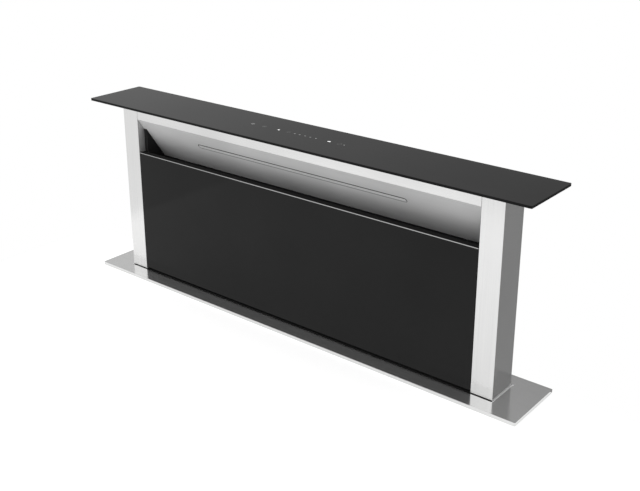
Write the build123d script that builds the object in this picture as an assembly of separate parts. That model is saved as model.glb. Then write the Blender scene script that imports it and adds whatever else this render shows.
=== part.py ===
"""Downdraft vent that rises out of a worktop, shown raised. Millimetres.

X runs along the vent, -Y is the front, +Z is up. The origin is the middle of the worktop cut-out,
level with the worktop. A telescopic tower carries a lid, a suction slot and two grease filters
behind a hinged glass panel. A gearmotor turns one long shaft, whose two pinions climb racks that
are fixed in the under-worktop casing, and a centrifugal blower on the casing draws the air out.
"""

import os
from math import acos, asin, atan2, cos, degrees, hypot, pi, radians, sin, tan

from build123d import *

os.makedirs("parts", exist_ok=True)

# ---------------------------------------------------------------- driving dimensions

# lid, flange and travel
PLATE_WIDTH = 880.0
FLANGE_LAP = 12.5
PLATE_CORNER = 2.0
LID_GLASS = 4.0
FLANGE_HEIGHT = 6.0
FLANGE_SHEET = 1.5
FLANGE_END = 50.0
RIM_DEPTH = 12.0
GASKET_GAP = 1.0
TRAVEL = 316.6
LID_GAP = 0.8

# tower
TOWER_END_GAP = 3.0
TOWER_SIDE_GAP = 5.5
TOWER_DEPTH = 55.0
TOWER_FOOT = -140.0
COLUMN_WIDTH = 36.0
COLUMN_LIP = 14.0
SHEET = 1.2
TRAY_SHEET = 1.5
TOUCH_BOARD = (196.0, 30.0, 1.6)
HEADER_HEIGHT = 25.0
HEADER_RETURN = 12.0
HEADER_SEAM = 0.5
DEFLECTOR_ANGLE = 34.0
DEFLECTOR_FOOT = 14.0
CHEEK_INSET = 8.0
CHEEK_LAP = 5.0
APRON_TOP = 6.4
APRON_RETURN = 28.0

# light slot in the deflector
SLOT_LENGTH = 433.0
SLOT_HEIGHT = 8.3
SLOT_DROP = 30.0
LENS_GAP = 0.2
LENS_RIM = 3.0
LENS_THICKNESS = 1.5
LIGHT_BAR_DEPTH = 6.0

# hinged glass panel
PANEL_GAP = 1.0
PANEL_FOOT = 10.0
PANEL_TOP = 235.0
PANEL_GLASS = 4.0
PANEL_TRAY_DEPTH = 6.8
PANEL_TRAY_INSET = 2.0
TRIM_LEG = 12.0
HINGE_INSET = 8.5
HINGE_HEIGHT = 18.0
HINGE_PIN = 2.0
HINGE_EAR = 1.5
EAR_SIZE = 9.0
PIN_HEAD = 3.5
PIN_HEAD_LENGTH = 1.5
RUNNING_GAP = 0.06
MAGNET = (7.0, 20.0)
MAGNET_DROP = 14.0
MAGNET_GAP = 0.4

# grease filters
FILTER_FOOT_Y = -1.0
FILTER_DEPTH = 8.0
FILTER_GAP = 1.0
FILTER_SHEET = 1.0
FILTER_BORDER = 12.0
FILTER_SLOTS = 14
FILTER_SLOT_WIDTH = 12.0
LEDGE = 1.5
WINDOW_BORDER = 10.0

# lift drive
SHAFT_RADIUS = 5.0
SHAFT_Z = -125.0
SHAFT_END = 3.0
BUSH_WALL = 3.0
BUSH_FLANGE = 2.0
BUSH_LENGTH = 7.0
CROSSBAR_SHEET = 1.5
CROSSBAR_HEIGHT = 30.0
CROSSBAR_FRONT = -8.0
GEAR_MODULE = 2.0
PINION_TEETH = 14
PRESSURE_ANGLE = 25.0
DEDENDUM = 1.25
FLANK_STEPS = 2
BACKLASH = 0.06
GEAR_WIDTH = 10.0
TOWER_TO_GEAR = 4.5
RACK_ABOVE_SHAFT = 25.0
GEARBOX_WIDTH = 56.0
GEARBOX_HEIGHT = 68.5
GEARBOX_GAP = 2.8
GEARBOX_ROUNDING = 5.0
LIFT_MOTOR_RADIUS = 17.0
LIFT_MOTOR_LENGTH = 82.0
LIFT_MOTOR_CHAMFER = 2.0
LIFT_MOTOR_GAP = 2.0

# guides
GLIDE_HEIGHT = 30.0
GLIDE_LENGTH = 22.0
GLIDE_FRONT = -31.0
GLIDE_BACK = -17.5
GLIDE_GAP = 0.4
GLIDE_TOP = -15.0
RAIL_SHEET = 3.0
RAIL_HALF_DEPTH = 25.0
FIN_START = 9.0
RAIL_TOP = -14.0

# casing
CASING_SIDE_GAP = 37.0
CASING_DEPTH = 90.0
CASING_LIP = 15.0
PRESSING_DEPTH = 2.5
PRESSING_MARGIN = 50.0
PRESSING_ROUNDING = 20.0
BUFFER_RADIUS = 12.0
BUFFER_HEIGHT = 22.0
BUFFER_GAP = 0.4
BUFFER_INSET = 87.0
FIXING_Y = -33.0
FIXING_SPREAD_Z = 100.0
FIXING_RADIUS = 2.5
FIXING_BELOW_TOWER = 60.0
SEAL_TOP = -5.0
SEAL_HEIGHT = 6.0
SEAL_GAP = 0.4

# blower
BLOWER_X = -60.0
BLOWER_Z = -310.0
BLOWER_DEPTH = 120.0
SCROLL_START = 86.0
SCROLL_STEP = 14.0
SCROLL_CUTOFF_ANGLE = 40.0
SCROLL_REACH = 150.0
INLET_RADIUS = 80.0
INLET_THROAT = 62.0
INLET_FLANGE = 92.0
INLET_LIP = 1.0
INLET_FIT = 1.0
WHEEL_RADIUS = 80.0
WHEEL_EYE = 66.0
WHEEL_RING = 1.5
WHEEL_WIDTH = 82.0
WHEEL_START = 13.0
BLADES = 24
BLADE_THICKNESS = 1.2
BLADE_SETBACK = 0.5
BLADE_SWEEP = 7.0
BLADE_CURVE = 20.0
WHEEL_HUB_RADIUS = 14.0
WHEEL_HUB_LENGTH = 14.0
MOTOR_SHAFT = 4.0
MOTOR_SHAFT_LENGTH = 74.0
MOTOR_RADIUS = 46.0
MOTOR_LENGTH = 62.0
MOTOR_HOLE = 40.0
MOTOR_PLATE = 74.0
MOTOR_PLATE_SHEET = 2.0
MOTOR_PLATE_HOLE = 12.0
MOTOR_CHAMFER = 8.0
MOTOR_VENTS = 8
MOTOR_VENT = (16.0, 5.0, 3.0)
MOTOR_VENT_RING = 23.0

# duct outlet
DUCT_RADIUS = 74.5
DUCT_WALL = 1.5
DUCT_LENGTH = 60.0
DUCT_BEAD = 1.5
ADAPTER_LENGTH = 70.0
CORNER_FACETS = 6
DUCT_TO_CASING = 4.0
FLAP_INSET = 15.0
FLAP_GAP = 1.2
FLAP_SHEET = 1.2
FLAP_PIN = 2.0
KNUCKLE_RADIUS = 3.6
KNUCKLE_LENGTH = 60.0
KNUCKLE_GAP = 1.0

# electronics
BOX_INSET = 24.0
BOX_WIDTH = 130.0
BOX_DEPTH = 43.0
BOX_BOTTOM = -270.0
BOX_HEIGHT = 160.0
BOX_WALL = 1.5
COVER_FIT = 0.3
BOX_VENTS = 6
BOX_VENT = (60.0, 4.0)
BOX_VENT_PITCH = 10.0
BOARD_MARGIN = 12.0
BOARD_THICKNESS = 1.6
TRANSFORMER = (36.0, 24.0, 32.0)
RELAY = (20.0, 15.0, 28.0)
RELAY_PITCH = 24.0
STANDOFF = 8.0
CAPACITOR_RADIUS = 14.0
CAPACITOR_LENGTH = 60.0
GLAND_RADIUS = 9.0
GLAND_BORE = 4.0
GLAND_LENGTH = 18.0
GLAND_THREAD = 7.0
GLAND_DOME = 8.0

# worktop clamps
CLAMP_INSET = 94.0
CLAMP_WIDTH = 30.0
CLAMP_LEG = 40.0
CLAMP_ARM = 20.0
CLAMP_SHEET = 2.0
CLAMP_Z = -60.0
WORKTOP = 38.0
CLAMP_SCREW = 3.0
CLAMP_SCREW_TAIL = 15.0
CLAMP_SCREW_OUT = 12.0

# ---------------------------------------------------------------- derived levels and faces

PLATE_DEPTH = CASING_DEPTH + 2 * FLANGE_LAP
OPENING_WIDTH = PLATE_WIDTH - 2 * FLANGE_END
OPENING_DEPTH = TOWER_DEPTH + 2 * TOWER_SIDE_GAP
TOWER_WIDTH = OPENING_WIDTH - 2 * TOWER_END_GAP
FRONT = -TOWER_DEPTH / 2
BACK = TOWER_DEPTH / 2
COLUMN_OUT = TOWER_WIDTH / 2
COLUMN_IN = COLUMN_OUT - COLUMN_WIDTH
CHEEK = COLUMN_IN - CHEEK_INSET
LIP_END = FRONT + COLUMN_LIP
LID_UNDER = FLANGE_HEIGHT + LID_GAP + TRAVEL
COLUMN_TOP = LID_UNDER - TRAY_SHEET
HEADER_FOOT = COLUMN_TOP - HEADER_HEIGHT
CASING_OUT = COLUMN_OUT + CASING_SIDE_GAP
CASING_FRONT = -CASING_DEPTH / 2
PLATE_UNDER = FLANGE_HEIGHT - FLANGE_SHEET
BUFFER_TOP = TOWER_FOOT - TRAVEL - BUFFER_GAP
CASING_FLOOR = BUFFER_TOP - BUFFER_HEIGHT
GEAR_IN = COLUMN_OUT + TOWER_TO_GEAR
PITCH_RADIUS = GEAR_MODULE * PINION_TEETH / 2

# ---------------------------------------------------------------- small helpers


def block(x, y, z):
    """A block between pairs of coordinates."""
    middle = [(low + high) / 2 for low, high in (x, y, z)]
    size = [high - low for low, high in (x, y, z)]
    return Pos(*middle) * Box(*size)


def folded(points, sheet):
    """The section of a bent sheet: an outside line thickened to its left."""
    line = Polyline(*points)
    return make_face(offset(line, amount=sheet, side=Side.LEFT, kind=Kind.INTERSECTION))


def along_x(section, x0, x1):
    """Extrude a section drawn in (y, z) from x0 to x1."""
    return extrude(Plane.YZ.offset(x0) * section, amount=x1 - x0)


def along_z(section, z0, z1):
    """Extrude a section drawn in (x, y) from z0 up to z1."""
    return extrude(Plane.XY.offset(z0) * section, amount=z1 - z0)


def forward(section, y0, y1):
    """Extrude a section drawn in (x, z) from y0 towards the front, to y1."""
    return extrude(Plane.XZ.offset(-y0) * section, amount=y0 - y1)


def rod_x(radius, x0, x1, y, z):
    """A round bar along X."""
    return Pos((x0 + x1) / 2, y, z) * Rot(0, 90, 0) * Cylinder(radius, x1 - x0)


def rod_z(radius, x, y, z0, z1):
    """A round bar along Z."""
    return Pos(x, y, (z0 + z1) / 2) * Cylinder(radius, z1 - z0)


def both_sides(shape):
    """A shape and its mirror image across the middle of the vent."""
    return Compound(children=[shape, mirror(shape, Plane.YZ)])


def left_of(shape):
    """The left-hand copy of a right-hand shape."""
    return mirror(shape, Plane.YZ)


def row_of(shape, pitch, count):
    """Copies of a flat shape in a row along X."""
    return Sketch() + [place * shape for place in GridLocations(pitch, 1, count, 1)]


nodes = {}

# ---------------------------------------------------------------- worktop flange and its seals


def flange_frame():
    outer = RectangleRounded(PLATE_WIDTH, PLATE_DEPTH, PLATE_CORNER)
    under = RectangleRounded(
        PLATE_WIDTH - 2 * FLANGE_SHEET,
        PLATE_DEPTH - 2 * FLANGE_SHEET,
        PLATE_CORNER - FLANGE_SHEET,
    )
    opening = Rectangle(OPENING_WIDTH, OPENING_DEPTH)
    rim = Rectangle(OPENING_WIDTH + 2 * FLANGE_SHEET, OPENING_DEPTH + 2 * FLANGE_SHEET)
    plate = along_z(outer - opening, PLATE_UNDER, FLANGE_HEIGHT)
    skirt = along_z(outer - under, 0, PLATE_UNDER)
    collar = along_z(rim - opening, -RIM_DEPTH, PLATE_UNDER)
    return plate + skirt + collar


def worktop_gasket():
    outer = RectangleRounded(
        PLATE_WIDTH - 2 * FLANGE_SHEET,
        PLATE_DEPTH - 2 * FLANGE_SHEET,
        PLATE_CORNER - FLANGE_SHEET,
    )
    inner = Rectangle(2 * CASING_OUT + 2 * GASKET_GAP, CASING_DEPTH + 2 * GASKET_GAP)
    return along_z(outer - inner, 0, PLATE_UNDER)


def wiper_seal():
    outer = Rectangle(OPENING_WIDTH, OPENING_DEPTH)
    inner = Rectangle(TOWER_WIDTH + 2 * SEAL_GAP, TOWER_DEPTH + 2 * SEAL_GAP)
    return along_z(outer - inner, SEAL_TOP - SEAL_HEIGHT, SEAL_TOP)


nodes["flange_frame"] = flange_frame()
nodes["worktop_gasket"] = worktop_gasket()
nodes["wiper_seal"] = wiper_seal()

# ---------------------------------------------------------------- tower: columns and sheets


def right_column():
    """Lipped channel, open towards the middle, with holes for the shaft bush and hinge pin."""
    half = TOWER_DEPTH / 2
    outer = Rectangle(COLUMN_WIDTH, TOWER_DEPTH)
    inner = Rectangle(COLUMN_WIDTH - 2 * SHEET, TOWER_DEPTH - 2 * SHEET)
    mouth = Pos(-COLUMN_WIDTH / 2, 0) * Rectangle(4 * SHEET, 2 * (half - COLUMN_LIP))
    middle = (COLUMN_IN + COLUMN_OUT) / 2
    column = Pos(middle, 0, 0) * along_z(outer - inner - mouth, TOWER_FOOT, COLUMN_TOP)
    column -= rod_x(SHAFT_RADIUS + BUSH_WALL, middle, COLUMN_OUT + SHEET, 0, SHAFT_Z)
    column -= rod_x(HINGE_PIN, COLUMN_IN - SHEET, middle, FRONT + HINGE_INSET, HINGE_HEIGHT)
    return column


def lid_tray():
    """Flat plate that carries the glass, with a window for the touch board."""
    length, width, _ = TOUCH_BOARD
    plate = Rectangle(TOWER_WIDTH, TOWER_DEPTH)
    window = Rectangle(length + 1, width + 1)
    return along_z(plate - window, COLUMN_TOP, LID_UNDER)


def header_deflector():
    """Header band and slanted deflector, folded from one sheet, with the light slot."""
    section = folded(
        [
            (FRONT + HEADER_RETURN, COLUMN_TOP),
            (FRONT, COLUMN_TOP),
            (FRONT, HEADER_FOOT),
            (deflector_back, deflector_foot + DEFLECTOR_FOOT),
            (deflector_back, deflector_foot),
        ],
        SHEET,
    )
    sheet = along_x(section, HEADER_SEAM - COLUMN_IN, COLUMN_IN - HEADER_SEAM)
    behind_lips = LIP_END - HEADER_SEAM
    corner = block((CHEEK, COLUMN_IN + 1), (behind_lips, BACK), (deflector_foot - 1, COLUMN_TOP - SHEET))
    sheet -= both_sides(corner)
    slot = deflector_plane * SlotOverall(SLOT_LENGTH, SLOT_HEIGHT)
    return sheet - extrude(slot, amount=3 * SHEET, both=True)


# the deflector's front face, centred on the light slot, looking out and down
lean = radians(DEFLECTOR_ANGLE)
deflector_back = BACK - 2 * SHEET
deflector_foot = HEADER_FOOT - (deflector_back - FRONT) / tan(lean) - DEFLECTOR_FOOT
slot_centre = SLOT_DROP + SLOT_HEIGHT / 2
deflector_plane = Plane(
    origin=(0, FRONT + slot_centre * sin(lean), HEADER_FOOT - slot_centre * cos(lean)),
    x_dir=(1, 0, 0),
    z_dir=(0, -cos(lean), -sin(lean)),
)


def led_lens():
    """Lens that fills the slot, with a rim behind the sheet."""
    face = SlotOverall(SLOT_LENGTH - 2 * LENS_GAP, SLOT_HEIGHT - 2 * LENS_GAP)
    rim = SlotOverall(SLOT_LENGTH + 2 * LENS_RIM, SLOT_HEIGHT + 2 * LENS_RIM)
    lens = extrude(deflector_plane * face, amount=-SHEET)
    lens += extrude(deflector_plane.offset(-SHEET) * rim, amount=-LENS_THICKNESS)
    return lens


def light_bar():
    """Aluminium channel with the light strip, behind the lens."""
    length = SLOT_LENGTH + 2 * LENS_RIM
    width = SLOT_HEIGHT + 2 * LENS_RIM
    back = deflector_plane.offset(-SHEET - LENS_THICKNESS)
    bar = extrude(back * Rectangle(length, width), amount=-LIGHT_BAR_DEPTH)
    mouth = Rectangle(length - 2 * SHEET, width - 2 * SHEET)
    return bar - extrude(back * mouth, amount=-LIGHT_BAR_DEPTH / 2)


def rear_panel():
    section = folded([(BACK, TOWER_FOOT), (BACK, COLUMN_TOP)], SHEET)
    return along_x(section, -COLUMN_IN, COLUMN_IN)


def front_apron():
    """Lower front sheet with the shelf that the filters stand on."""
    section = folded(
        [(FRONT + APRON_RETURN, APRON_TOP), (FRONT, APRON_TOP), (FRONT, TOWER_FOOT)], SHEET
    )
    return along_x(section, -COLUMN_IN, COLUMN_IN)


def right_cheek():
    """Air guide inside the column: a web across the tower and a flange behind the column's lip."""
    flange_end = COLUMN_IN + CHEEK_LAP
    section = folded([(CHEEK, BACK - SHEET), (CHEEK, LIP_END), (flange_end, LIP_END)], SHEET)
    return along_z(section, APRON_TOP, COLUMN_TOP - SHEET)


nodes["lid_glass"] = along_z(
    RectangleRounded(PLATE_WIDTH, PLATE_DEPTH, PLATE_CORNER), LID_UNDER, LID_UNDER + LID_GLASS
)
nodes["lid_tray"] = lid_tray()
nodes["touch_board"] = along_z(
    Rectangle(TOUCH_BOARD[0], TOUCH_BOARD[1]), LID_UNDER - TOUCH_BOARD[2], LID_UNDER
)
nodes["right_column"] = right_column()
nodes["left_column"] = left_of(nodes["right_column"])
nodes["header_deflector"] = header_deflector()
nodes["led_lens"] = led_lens()
nodes["light_bar"] = light_bar()
nodes["rear_panel"] = rear_panel()
nodes["front_apron"] = front_apron()
nodes["right_cheek"] = right_cheek()
nodes["left_cheek"] = left_of(nodes["right_cheek"])

# ---------------------------------------------------------------- grease filters on their carrier

filter_rise = deflector_foot - APRON_TOP
filter_run = deflector_back - FILTER_FOOT_Y
carrier_length = hypot(filter_rise, filter_run)
filter_lean = atan2(filter_run, filter_rise)
filter_plane = Plane(
    origin=(0, FILTER_FOOT_Y, APRON_TOP),
    x_dir=(1, 0, 0),
    z_dir=(0, -cos(filter_lean), sin(filter_lean)),
)


def on_filter_plane(shape):
    """Place a shape drawn flat, with its lower edge on X, onto the leaning filter plane."""
    return filter_plane.location * shape


def filter_carrier():
    """Leaning sheet with two windows and a ledge under the filters."""
    length = carrier_length
    plate = block((-CHEEK, CHEEK), (0, length), (0, LEDGE))
    ledge = block((-CHEEK, CHEEK), (0, LEDGE), (LEDGE, LEDGE + FILTER_DEPTH + FILTER_GAP))
    window = block(
        (WINDOW_BORDER, CHEEK - WINDOW_BORDER),
        (LEDGE + WINDOW_BORDER, length - WINDOW_BORDER),
        (-LEDGE, 2 * LEDGE),
    )
    return on_filter_plane(plate + ledge - both_sides(window))


def right_filter():
    """Cassette: a framed tray with slotted baffle faces, their slots staggered front to back."""
    x0 = FILTER_GAP / 2
    x1 = CHEEK - FILTER_GAP
    y0 = LEDGE
    y1 = carrier_length - 4 * FILTER_GAP
    z0 = LEDGE
    z1 = LEDGE + FILTER_DEPTH
    body = block((x0, x1), (y0, y1), (z0, z1))
    inside = block(
        (x0 + FILTER_SHEET, x1 - FILTER_SHEET),
        (y0 + FILTER_SHEET, y1 - FILTER_SHEET),
        (z0 + FILTER_SHEET, z1 - FILTER_SHEET),
    )
    pitch = (x1 - x0 - 2 * FILTER_BORDER) / FILTER_SLOTS
    slot = Rectangle(FILTER_SLOT_WIDTH, y1 - y0 - 2 * FILTER_BORDER)
    middle = Pos((x0 + x1) / 2, (y0 + y1) / 2)
    front = middle * row_of(slot, pitch, FILTER_SLOTS)
    rear = middle * row_of(slot, pitch, FILTER_SLOTS - 1)
    body -= inside
    body -= along_z(front, z1 - 2 * FILTER_SHEET, z1 + FILTER_SHEET)
    body -= along_z(rear, z0 - FILTER_SHEET, z0 + 2 * FILTER_SHEET)
    return on_filter_plane(body)


nodes["filter_carrier"] = filter_carrier()
nodes["right_filter"] = right_filter()
nodes["left_filter"] = left_of(nodes["right_filter"])

# ---------------------------------------------------------------- hinged glass panel

panel_half = COLUMN_IN - PANEL_GAP
tray_half = panel_half - PANEL_GAP
tray_front = FRONT + PANEL_GLASS
tray_back = tray_front + PANEL_TRAY_DEPTH
hinge_y = FRONT + HINGE_INSET


def panel_tray():
    """Folded steel tray behind the glass, with an ear at each end for the hinge pin."""
    foot = PANEL_FOOT + PANEL_TRAY_INSET
    top = PANEL_TOP - SHEET
    section = folded([(tray_back, top), (tray_front, top), (tray_front, foot), (tray_back, foot)], SHEET)
    tray = along_x(section, -tray_half, tray_half)
    ear_end = CHEEK - PANEL_GAP
    ear = block(
        (ear_end - HINGE_EAR, ear_end),
        (tray_front + SHEET, hinge_y + EAR_SIZE / 2),
        (foot + SHEET, HINGE_HEIGHT + EAR_SIZE / 2),
    )
    tray += both_sides(ear)
    reach = CHEEK - 3 * HINGE_EAR
    hole = rod_x(HINGE_PIN + RUNNING_GAP, reach, COLUMN_IN + 1, hinge_y, HINGE_HEIGHT)
    return tray - both_sides(hole)


def panel_top_trim():
    """Bright angle along the glass's top edge."""
    leg = tray_back + SHEET
    section = folded([(leg, PANEL_TOP - TRIM_LEG), (leg, PANEL_TOP), (FRONT, PANEL_TOP)], SHEET)
    trim = along_x(section, -panel_half, panel_half)
    beside_leg = block((CHEEK - PANEL_GAP, COLUMN_IN), (tray_back, leg), (0, PANEL_TOP - SHEET))
    return trim - both_sides(beside_leg)


def hinge_pin():
    """Pin through the column's lip into the panel's ear."""
    start = CHEEK - PANEL_GAP - 2 * HINGE_EAR
    back_of_lip = COLUMN_IN + SHEET
    pin = rod_x(HINGE_PIN, start, back_of_lip, hinge_y, HINGE_HEIGHT)
    head = along_x(RegularPolygon(PIN_HEAD, 6), back_of_lip, back_of_lip + PIN_HEAD_LENGTH)
    return pin + Pos(0, hinge_y, HINGE_HEIGHT) * head


def catch_magnet():
    """Magnet on the cheek's flange that holds the closed panel's tray."""
    width, height = MAGNET
    top = PANEL_TOP - MAGNET_DROP
    face = tray_front + SHEET + MAGNET_GAP
    return block((CHEEK, CHEEK + width), (face, LIP_END), (top - height, top))


nodes["front_glass"] = block(
    (-panel_half, panel_half), (FRONT, FRONT + PANEL_GLASS), (PANEL_FOOT, PANEL_TOP - SHEET)
)
nodes["panel_tray"] = panel_tray()
nodes["panel_top_trim"] = panel_top_trim()
nodes["hinge_pins"] = both_sides(hinge_pin())
nodes["catch_magnets"] = both_sides(catch_magnet())

# ---------------------------------------------------------------- lift drive on the tower


def crossbar():
    """Channel between the columns, open to the front, that houses the shaft."""
    back = BACK - COLUMN_LIP
    top = TOWER_FOOT + CROSSBAR_HEIGHT
    section = folded(
        [(CROSSBAR_FRONT, TOWER_FOOT), (back, TOWER_FOOT), (back, top), (CROSSBAR_FRONT, top)],
        CROSSBAR_SHEET,
    )
    half = COLUMN_OUT - SHEET
    bar = along_x(section, -half, half)
    notch = GEARBOX_WIDTH / 2
    upper = (top - 2 * CROSSBAR_SHEET, top + 1)
    return bar - block((-notch, notch), (2 * CROSSBAR_FRONT, back - CROSSBAR_SHEET), upper)


gearbox_back = BACK - COLUMN_LIP - CROSSBAR_SHEET
gearbox_front = FRONT + SHEET + GEARBOX_GAP


def lift_gearbox():
    """Cast gearbox that clasps the shaft and stands up past the channel to the motor."""
    half = GEARBOX_WIDTH / 2
    foot = TOWER_FOOT + CROSSBAR_SHEET
    body = block((-half, half), (gearbox_front, gearbox_back), (foot, foot + GEARBOX_HEIGHT))
    front_corners = body.faces().sort_by(Axis.Y)[0].edges().filter_by(Axis.Z)
    body = fillet(front_corners, GEARBOX_ROUNDING)
    return body - rod_x(SHAFT_RADIUS + RUNNING_GAP, -2 * half, 2 * half, 0, SHAFT_Z)


def lift_motor():
    """Tube motor on the gearbox's side."""
    start = GEARBOX_WIDTH / 2
    y = (gearbox_front + gearbox_back) / 2
    z = TOWER_FOOT + CROSSBAR_HEIGHT + LIFT_MOTOR_GAP + LIFT_MOTOR_RADIUS
    body = rod_x(LIFT_MOTOR_RADIUS, start, start + LIFT_MOTOR_LENGTH, y, z)
    return chamfer(body.faces().sort_by(Axis.X)[-1].edges(), LIFT_MOTOR_CHAMFER)


def right_bush():
    """Flanged bush in the column's outer wall."""
    end = COLUMN_OUT + BUSH_FLANGE
    sleeve = rod_x(SHAFT_RADIUS + BUSH_WALL, end - BUSH_LENGTH, end, 0, SHAFT_Z)
    flange = rod_x(SHAFT_RADIUS + 2 * BUSH_WALL, COLUMN_OUT, end, 0, SHAFT_Z)
    hole = rod_x(SHAFT_RADIUS + RUNNING_GAP, COLUMN_IN, COLUMN_OUT + BUSH_LENGTH, 0, SHAFT_Z)
    return sleeve + flange - hole


def involute(angle):
    return tan(angle) - angle


def pinion_outline():
    """Spur pinion with involute flanks, one tooth centred on the +Y axis."""
    alpha = radians(PRESSURE_ANGLE)
    base = PITCH_RADIUS * cos(alpha)
    tip = PITCH_RADIUS + GEAR_MODULE
    root = PITCH_RADIUS - DEDENDUM * GEAR_MODULE
    half_at_pitch = pi / (2 * PINION_TEETH) - BACKLASH / PITCH_RADIUS
    radii = [base + (tip - base) * i / FLANK_STEPS for i in range(FLANK_STEPS + 1)]
    flank = [(root, half_at_pitch + involute(alpha))]
    for radius in radii:
        flank.append((radius, half_at_pitch + involute(alpha) - involute(acos(base / radius))))
    points = []
    for tooth in range(PINION_TEETH):
        centre = 2 * pi * tooth / PINION_TEETH
        points += [(r * cos(centre - a), r * sin(centre - a)) for r, a in flank]
        points += [(r * cos(centre + a), r * sin(centre + a)) for r, a in reversed(flank)]
    return make_face(Polyline(*points, close=True))


def right_pinion():
    gear = along_x(pinion_outline(), GEAR_IN, GEAR_IN + GEAR_WIDTH)
    hole = rod_x(SHAFT_RADIUS, COLUMN_IN, GEAR_IN + 2 * GEAR_WIDTH, 0, 0)
    return Pos(0, 0, SHAFT_Z) * (gear - hole)


def right_rack():
    """Straight rack whose tooth space faces the pinion's rear tooth."""
    alpha = radians(PRESSURE_ANGLE)
    pitch = pi * GEAR_MODULE
    tip_y = PITCH_RADIUS - GEAR_MODULE
    root_y = PITCH_RADIUS + DEDENDUM * GEAR_MODULE
    half_tip = pitch / 4 - BACKLASH - GEAR_MODULE * tan(alpha)
    half_root = pitch / 4 - BACKLASH + DEDENDUM * GEAR_MODULE * tan(alpha)
    back = RAIL_HALF_DEPTH - RAIL_SHEET
    top = SHAFT_Z + RACK_ABOVE_SHAFT
    count = int((top - CASING_FLOOR) / pitch) - 1
    first = SHAFT_Z + pitch / 2 + pitch * int((top - SHAFT_Z) / pitch - 1)
    points = [(back, top), (root_y, top)]
    for tooth in range(count):
        z = first - tooth * pitch
        points += [(root_y, z + half_root), (tip_y, z + half_tip)]
        points += [(tip_y, z - half_tip), (root_y, z - half_root)]
    points += [(root_y, CASING_FLOOR), (back, CASING_FLOOR)]
    return along_x(make_face(Polyline(*points, close=True)), GEAR_IN, GEAR_IN + GEAR_WIDTH)


shaft_half = GEAR_IN + GEAR_WIDTH + SHAFT_END

nodes["crossbar"] = crossbar()
nodes["lift_gearbox"] = lift_gearbox()
nodes["lift_motor"] = lift_motor()
nodes["shaft_bushes"] = both_sides(right_bush())
nodes["drive_shaft"] = rod_x(SHAFT_RADIUS, -shaft_half, shaft_half, 0, SHAFT_Z)
nodes["right_pinion"] = right_pinion()
nodes["left_pinion"] = left_of(nodes["right_pinion"])
nodes["right_rack"] = right_rack()
nodes["left_rack"] = left_of(nodes["right_rack"])

# ---------------------------------------------------------------- guides and buffers

fin_back = RAIL_SHEET - RAIL_HALF_DEPTH
web_in = CASING_OUT - SHEET - RAIL_SHEET


def right_rail():
    """Channel on the casing's side: front fin for the glides, rear leg behind the rack."""
    web = Rectangle(RAIL_SHEET, 2 * RAIL_HALF_DEPTH)
    web = Pos(web_in + RAIL_SHEET / 2, 0) * web
    fin_start = COLUMN_OUT + FIN_START
    fin = Pos((fin_start + web_in) / 2, fin_back - RAIL_SHEET / 2)
    fin *= Rectangle(web_in - fin_start, RAIL_SHEET)
    leg = Pos((GEAR_IN + web_in) / 2, RAIL_HALF_DEPTH - RAIL_SHEET / 2)
    leg *= Rectangle(web_in - GEAR_IN, RAIL_SHEET)
    return along_z(web + fin + leg, CASING_FLOOR, RAIL_TOP)


def right_glide(top):
    """Plastic block on the column with a slot that runs on the rail's fin."""
    x1 = COLUMN_OUT + GLIDE_LENGTH
    body = block((COLUMN_OUT, x1), (GLIDE_FRONT, GLIDE_BACK), (top - GLIDE_HEIGHT, top))
    slot = block(
        (COLUMN_OUT + FIN_START - GLIDE_GAP, x1 + 1),
        (-RAIL_HALF_DEPTH - GLIDE_GAP, fin_back + GLIDE_GAP),
        (top - 2 * GLIDE_HEIGHT, top + GLIDE_HEIGHT),
    )
    return body - slot


glides = [right_glide(GLIDE_TOP), right_glide(TOWER_FOOT + GLIDE_HEIGHT)]
nodes["right_rail"] = right_rail()
nodes["left_rail"] = left_of(nodes["right_rail"])
nodes["tower_glides"] = Compound(children=glides + [left_of(glide) for glide in glides])
nodes["lower_buffers"] = both_sides(
    rod_z(BUFFER_RADIUS, COLUMN_OUT - BUFFER_INSET, 0, CASING_FLOOR, BUFFER_TOP)
)

# ---------------------------------------------------------------- casing under the worktop

blower_place = Pos(BLOWER_X, 0, BLOWER_Z)


def disc_along_y(radius, y0, y1):
    """A round bar along Y on the blower's axis."""
    return blower_place * forward(Circle(radius), y0, y1)


def casing_front():
    sheet = block(
        (-CASING_OUT, CASING_OUT), (CASING_FRONT, CASING_FRONT + SHEET), (CASING_FLOOR, PLATE_UNDER)
    )
    return sheet - disc_along_y(INLET_RADIUS, 0, 2 * CASING_FRONT)


def casing_rear():
    """Rear sheet, stiffened by two shallow panels pressed inwards below the clamps."""
    rear = -CASING_FRONT
    inside = rear - SHEET
    sheet = block((-CASING_OUT, CASING_OUT), (inside, rear), (CASING_FLOOR, PLATE_UNDER))
    width = CASING_OUT - 1.5 * PRESSING_MARGIN
    height = TOWER_FOOT - CASING_FLOOR - PRESSING_MARGIN
    middle = Pos((PRESSING_MARGIN + width) / 2, TOWER_FOOT - height / 2)
    panel = middle * RectangleRounded(width, height, PRESSING_ROUNDING)
    hollow = middle * RectangleRounded(
        width - 2 * SHEET, height - 2 * SHEET, PRESSING_ROUNDING - SHEET
    )
    sheet += both_sides(forward(panel, inside, inside - PRESSING_DEPTH))
    return sheet - both_sides(forward(hollow, rear, rear - PRESSING_DEPTH))


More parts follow.
